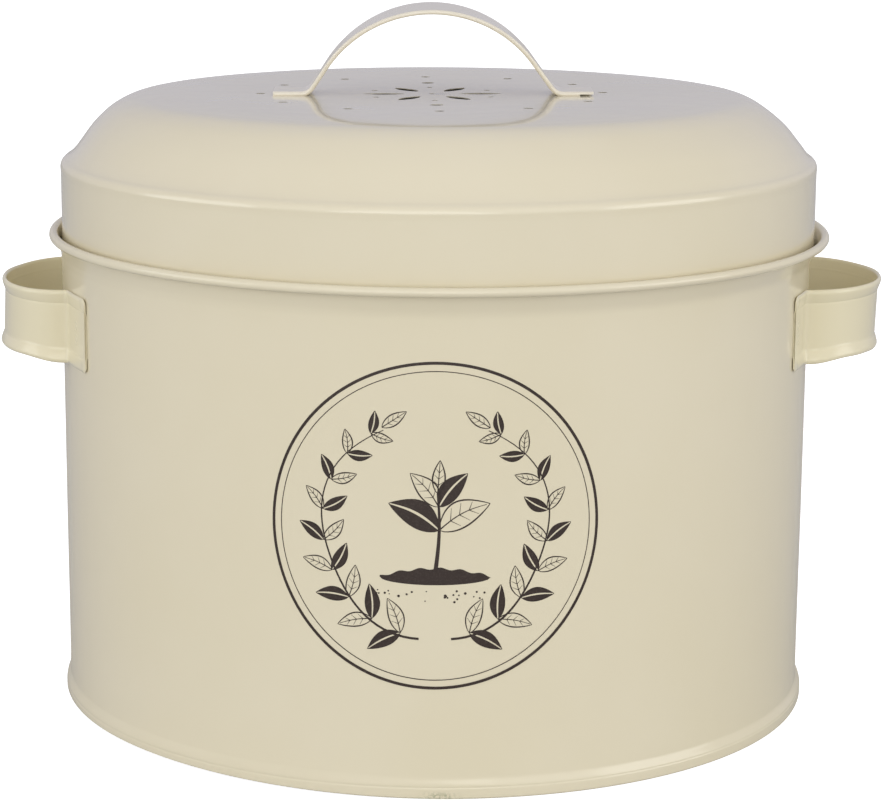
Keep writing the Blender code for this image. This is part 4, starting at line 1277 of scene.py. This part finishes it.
floor_top = BUCKET_FLOOR + BUCKET_WALL
bucket_section = [(0.0, floor_top + 0.0006), (0.0, BUCKET_FLOOR + 0.0008), (0.0890, BUCKET_FLOOR + 0.0008),
                  (0.0898, BUCKET_FLOOR), (0.0965, BUCKET_FLOOR)]
corner_radius = 0.0078
inner_corner = corner_radius - BUCKET_WALL
corner_at = (bucket_radius(BUCKET_FLOOR) - corner_radius, BUCKET_FLOOR + corner_radius)
bucket_section += arc(corner_at, corner_radius, -80, 0, 12)
for height in (0.030, 0.060, 0.090, 0.1165, 0.1180, 0.1190, 0.1200, 0.1210, 0.1225, 0.1380, 0.1430):
    bucket_section.append((bucket_radius(height), height))
bucket_section += [(BUCKET_RIM_RADIUS - inward, height) for inward, height in (
    (0.0019, 0.1437), (0.0015, 0.1431), (0.0015, 0.1418), (0.0012, 0.1415), (0.0003, 0.1415), (0.0, 0.1418),
    (0.0, 0.1446))]
bucket_section += arc((BUCKET_RIM_RADIUS - 0.0014, 0.1446), 0.0014, 8, 90, 8)
bucket_section += arc((BUCKET_TOP_RADIUS - BUCKET_WALL + 0.0008, 0.1452), 0.0008, 90, 180, 5)
for height in (0.1430, 0.1380, 0.1225, 0.1200, 0.1180, 0.1165, 0.090, 0.060, 0.030):
    bucket_section.append((bucket_radius(height) - BUCKET_WALL, height))
bucket_section += arc((corner_at[0], floor_top + inner_corner), inner_corner, 0, -90, 10)
bucket_section += [(0.0975, floor_top), (0.0900, floor_top), (0.0880, floor_top + 0.0006)]
bucket = piece("bucket", turned(bucket_section, even_angles(180)), GREY_PLASTIC)
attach(bucket, "bucket")
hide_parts("inner_bucket")


def make_ears():
    """Two plates with rounded edges, each pierced for the bail."""
    made = bmesh.new()
    half = 0.0080
    bevel = 0.0005
    ear_inner = EAR_OUTER - EAR_THICKNESS
    middle = Vector((0.0, 0.1440))
    outline = arc((0.0, EAR_TOP - half), half, 0, 180, 24)
    outline += [(-half, 0.1385)] + arc((-half + 0.0040, 0.1380), 0.0040, 180, 270, 8)
    outline += arc((half - 0.0040, 0.1380), 0.0040, 270, 360, 8) + [(half, 0.1385)]
    hole_line = arc((0.0, BAIL_AXIS), BAIL_WIRE + PIVOT_GAP, 0, 352.5, 47)
    for side in (-1, 1):
        rings = []
        for x, pinch in ((ear_inner, bevel), (ear_inner + bevel, 0.0),
                         (EAR_OUTER - bevel, 0.0), (EAR_OUTER, bevel)):
            ring = []
            for y, z in outline:
                inward = (middle - Vector((y, z))).normalized() * pinch
                ring.append(made.verts.new((side * x, y + inward.x, z + inward.y)))
            rings.append(ring)
        holes = [[made.verts.new((side * x, y, z)) for y, z in hole_line] for x in (ear_inner, EAR_OUTER)]
        joined(made, rings)
        joined(made, holes)
        for ring, hole in ((rings[0], holes[0]), (rings[-1], holes[1])):
            edges = [made.edges.get((r[k], r[(k + 1) % len(r)])) for r in (ring, hole) for k in range(len(r))]
            bmesh.ops.triangle_fill(made, use_beauty=True, edges=edges)
    return made


ears = piece("bucket_ears", make_ears(), GREY_PLASTIC)
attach(ears, "bucket")

# Bail
# The bucket's handle: one bent zinc-plated wire, hooked through the two ears from outside with its ends upset
# inside them. It lies folded forward on the bucket's lip.
BAIL_REACH = 0.0960
BAIL_STRAIGHT = 0.0450
BAIL_BEND = 0.0022


def zinc_plate():
    """Bright zinc with a faint spangle and fine drawing lines."""
    material, tree = new_material("zinc_plate")
    where = object_place(tree)
    spangle = scaled_noise(tree, where, 240.0, 4.0, 0.65)
    draw = add_node(tree, "TexWave", {"Scale": 420.0, "Distortion": 6.0, "Vector": where}).outputs["Fac"]
    colour = mixed_colour(tree, remap(tree, spangle, 0.3, 0.7), (0.52, 0.53, 0.55), (0.72, 0.72, 0.71))
    rough = remap(tree, spangle, 0.3, 0.7, 0.22, 0.38)
    return finished(material, colour, rough, product(tree, draw, 0.000006), more={"Metallic": 1.0})


def tube_along(path, sides):
    """A round bar along a level row of (place, radius), closed at both ends."""
    made = bmesh.new()
    rings = []
    up = Vector((0.0, 0.0, 1.0))
    for i, (spot, radius) in enumerate(path):
        across = direction_at([place for place, _ in path], i).cross(up).normalized()
        rings.append([made.verts.new(Vector(spot) + across * radius * math.cos(a) + up * radius * math.sin(a))
                      for a in (2 * math.pi * k / sides for k in range(sides))])
    joined(made, rings)
    made.faces.new(rings[0][::-1])
    made.faces.new(rings[-1])
    return made


head = EAR_OUTER - EAR_THICKNESS - 0.0003
bail_half = [((head - inward, 0.0, BAIL_AXIS), radius) for inward, radius in
             ((0.0018, 0.0017), (0.0016, 0.0023), (0.0009, 0.0026), (0.0001, 0.0024), (0.0, BAIL_WIRE))]
bend = arc((EAR_OUTER, -BAIL_BEND), BAIL_BEND, 90, 0, 8)
straight_end = Vector((BAIL_STRAIGHT, -BAIL_REACH))
pull_1 = Vector(bend[-1]) + Vector((0.0, -BAIL_REACH * 0.49))
pull_2 = straight_end + Vector(((EAR_OUTER + BAIL_BEND - BAIL_STRAIGHT) * 0.57, 0.0))
bow = [spot for _, spot in curve_between(Vector(bend[-1]), pull_1, pull_2, straight_end, 32)]
bail_half += [((x, y, BAIL_AXIS), BAIL_WIRE) for x, y in bend + bow]
bail_line = bail_half + [((-spot[0], spot[1], spot[2]), radius) for spot, radius in bail_half[::-1]]
bail = piece("bail_wire", tube_along(bail_line, 20), zinc_plate(), 50)
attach(bail, "bail")
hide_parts("bucket_bail")

# Bail grip
# A black plastic tube, free to turn on the middle of the bail, whose bore is slightly wider than the wire. It
# has a row of finger grooves and rounded ends.
GRIP_HALF = 0.0400
GRIP_OUTER = 0.0045
GRIP_BORE = 0.0018
GRIP_EDGE = 0.0010
GRIP_GROOVES = 10
GROOVE_PITCH = 0.0066
GROOVE_WIDTH = 0.0042
GROOVE_DEPTH = 0.0006
GROOVE_STEPS = 8
grip_section = [(GRIP_BORE, -GRIP_HALF + 0.0004), (GRIP_BORE + 0.0003, -GRIP_HALF)]
grip_section += arc((GRIP_OUTER - GRIP_EDGE, -GRIP_HALF + GRIP_EDGE), GRIP_EDGE, -90, 0, 6)
for k in range(GRIP_GROOVES):
    centre_at = (k - (GRIP_GROOVES - 1) / 2) * GROOVE_PITCH
    for i in range(GROOVE_STEPS + 1):
        t = i / GROOVE_STEPS
        dip = GROOVE_DEPTH * math.sin(math.pi * t)
        grip_section.append((GRIP_OUTER - dip, centre_at + (t - 0.5) * GROOVE_WIDTH))
grip_section += arc((GRIP_OUTER - GRIP_EDGE, GRIP_HALF - GRIP_EDGE), GRIP_EDGE, 0, 90, 6)
grip_section += [(GRIP_BORE + 0.0003, GRIP_HALF), (GRIP_BORE, GRIP_HALF - 0.0004)]
grip_made = turned(grip_section, even_angles(40))
for vert in grip_made.verts:
    radial_x, radial_y, along = vert.co
    vert.co = (along, -BAIL_REACH + radial_x, BAIL_AXIS + radial_y)
grip = piece("grip_tube", grip_made, BLACK_PLASTIC)
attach(grip, "grip")
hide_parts("bail_grip")
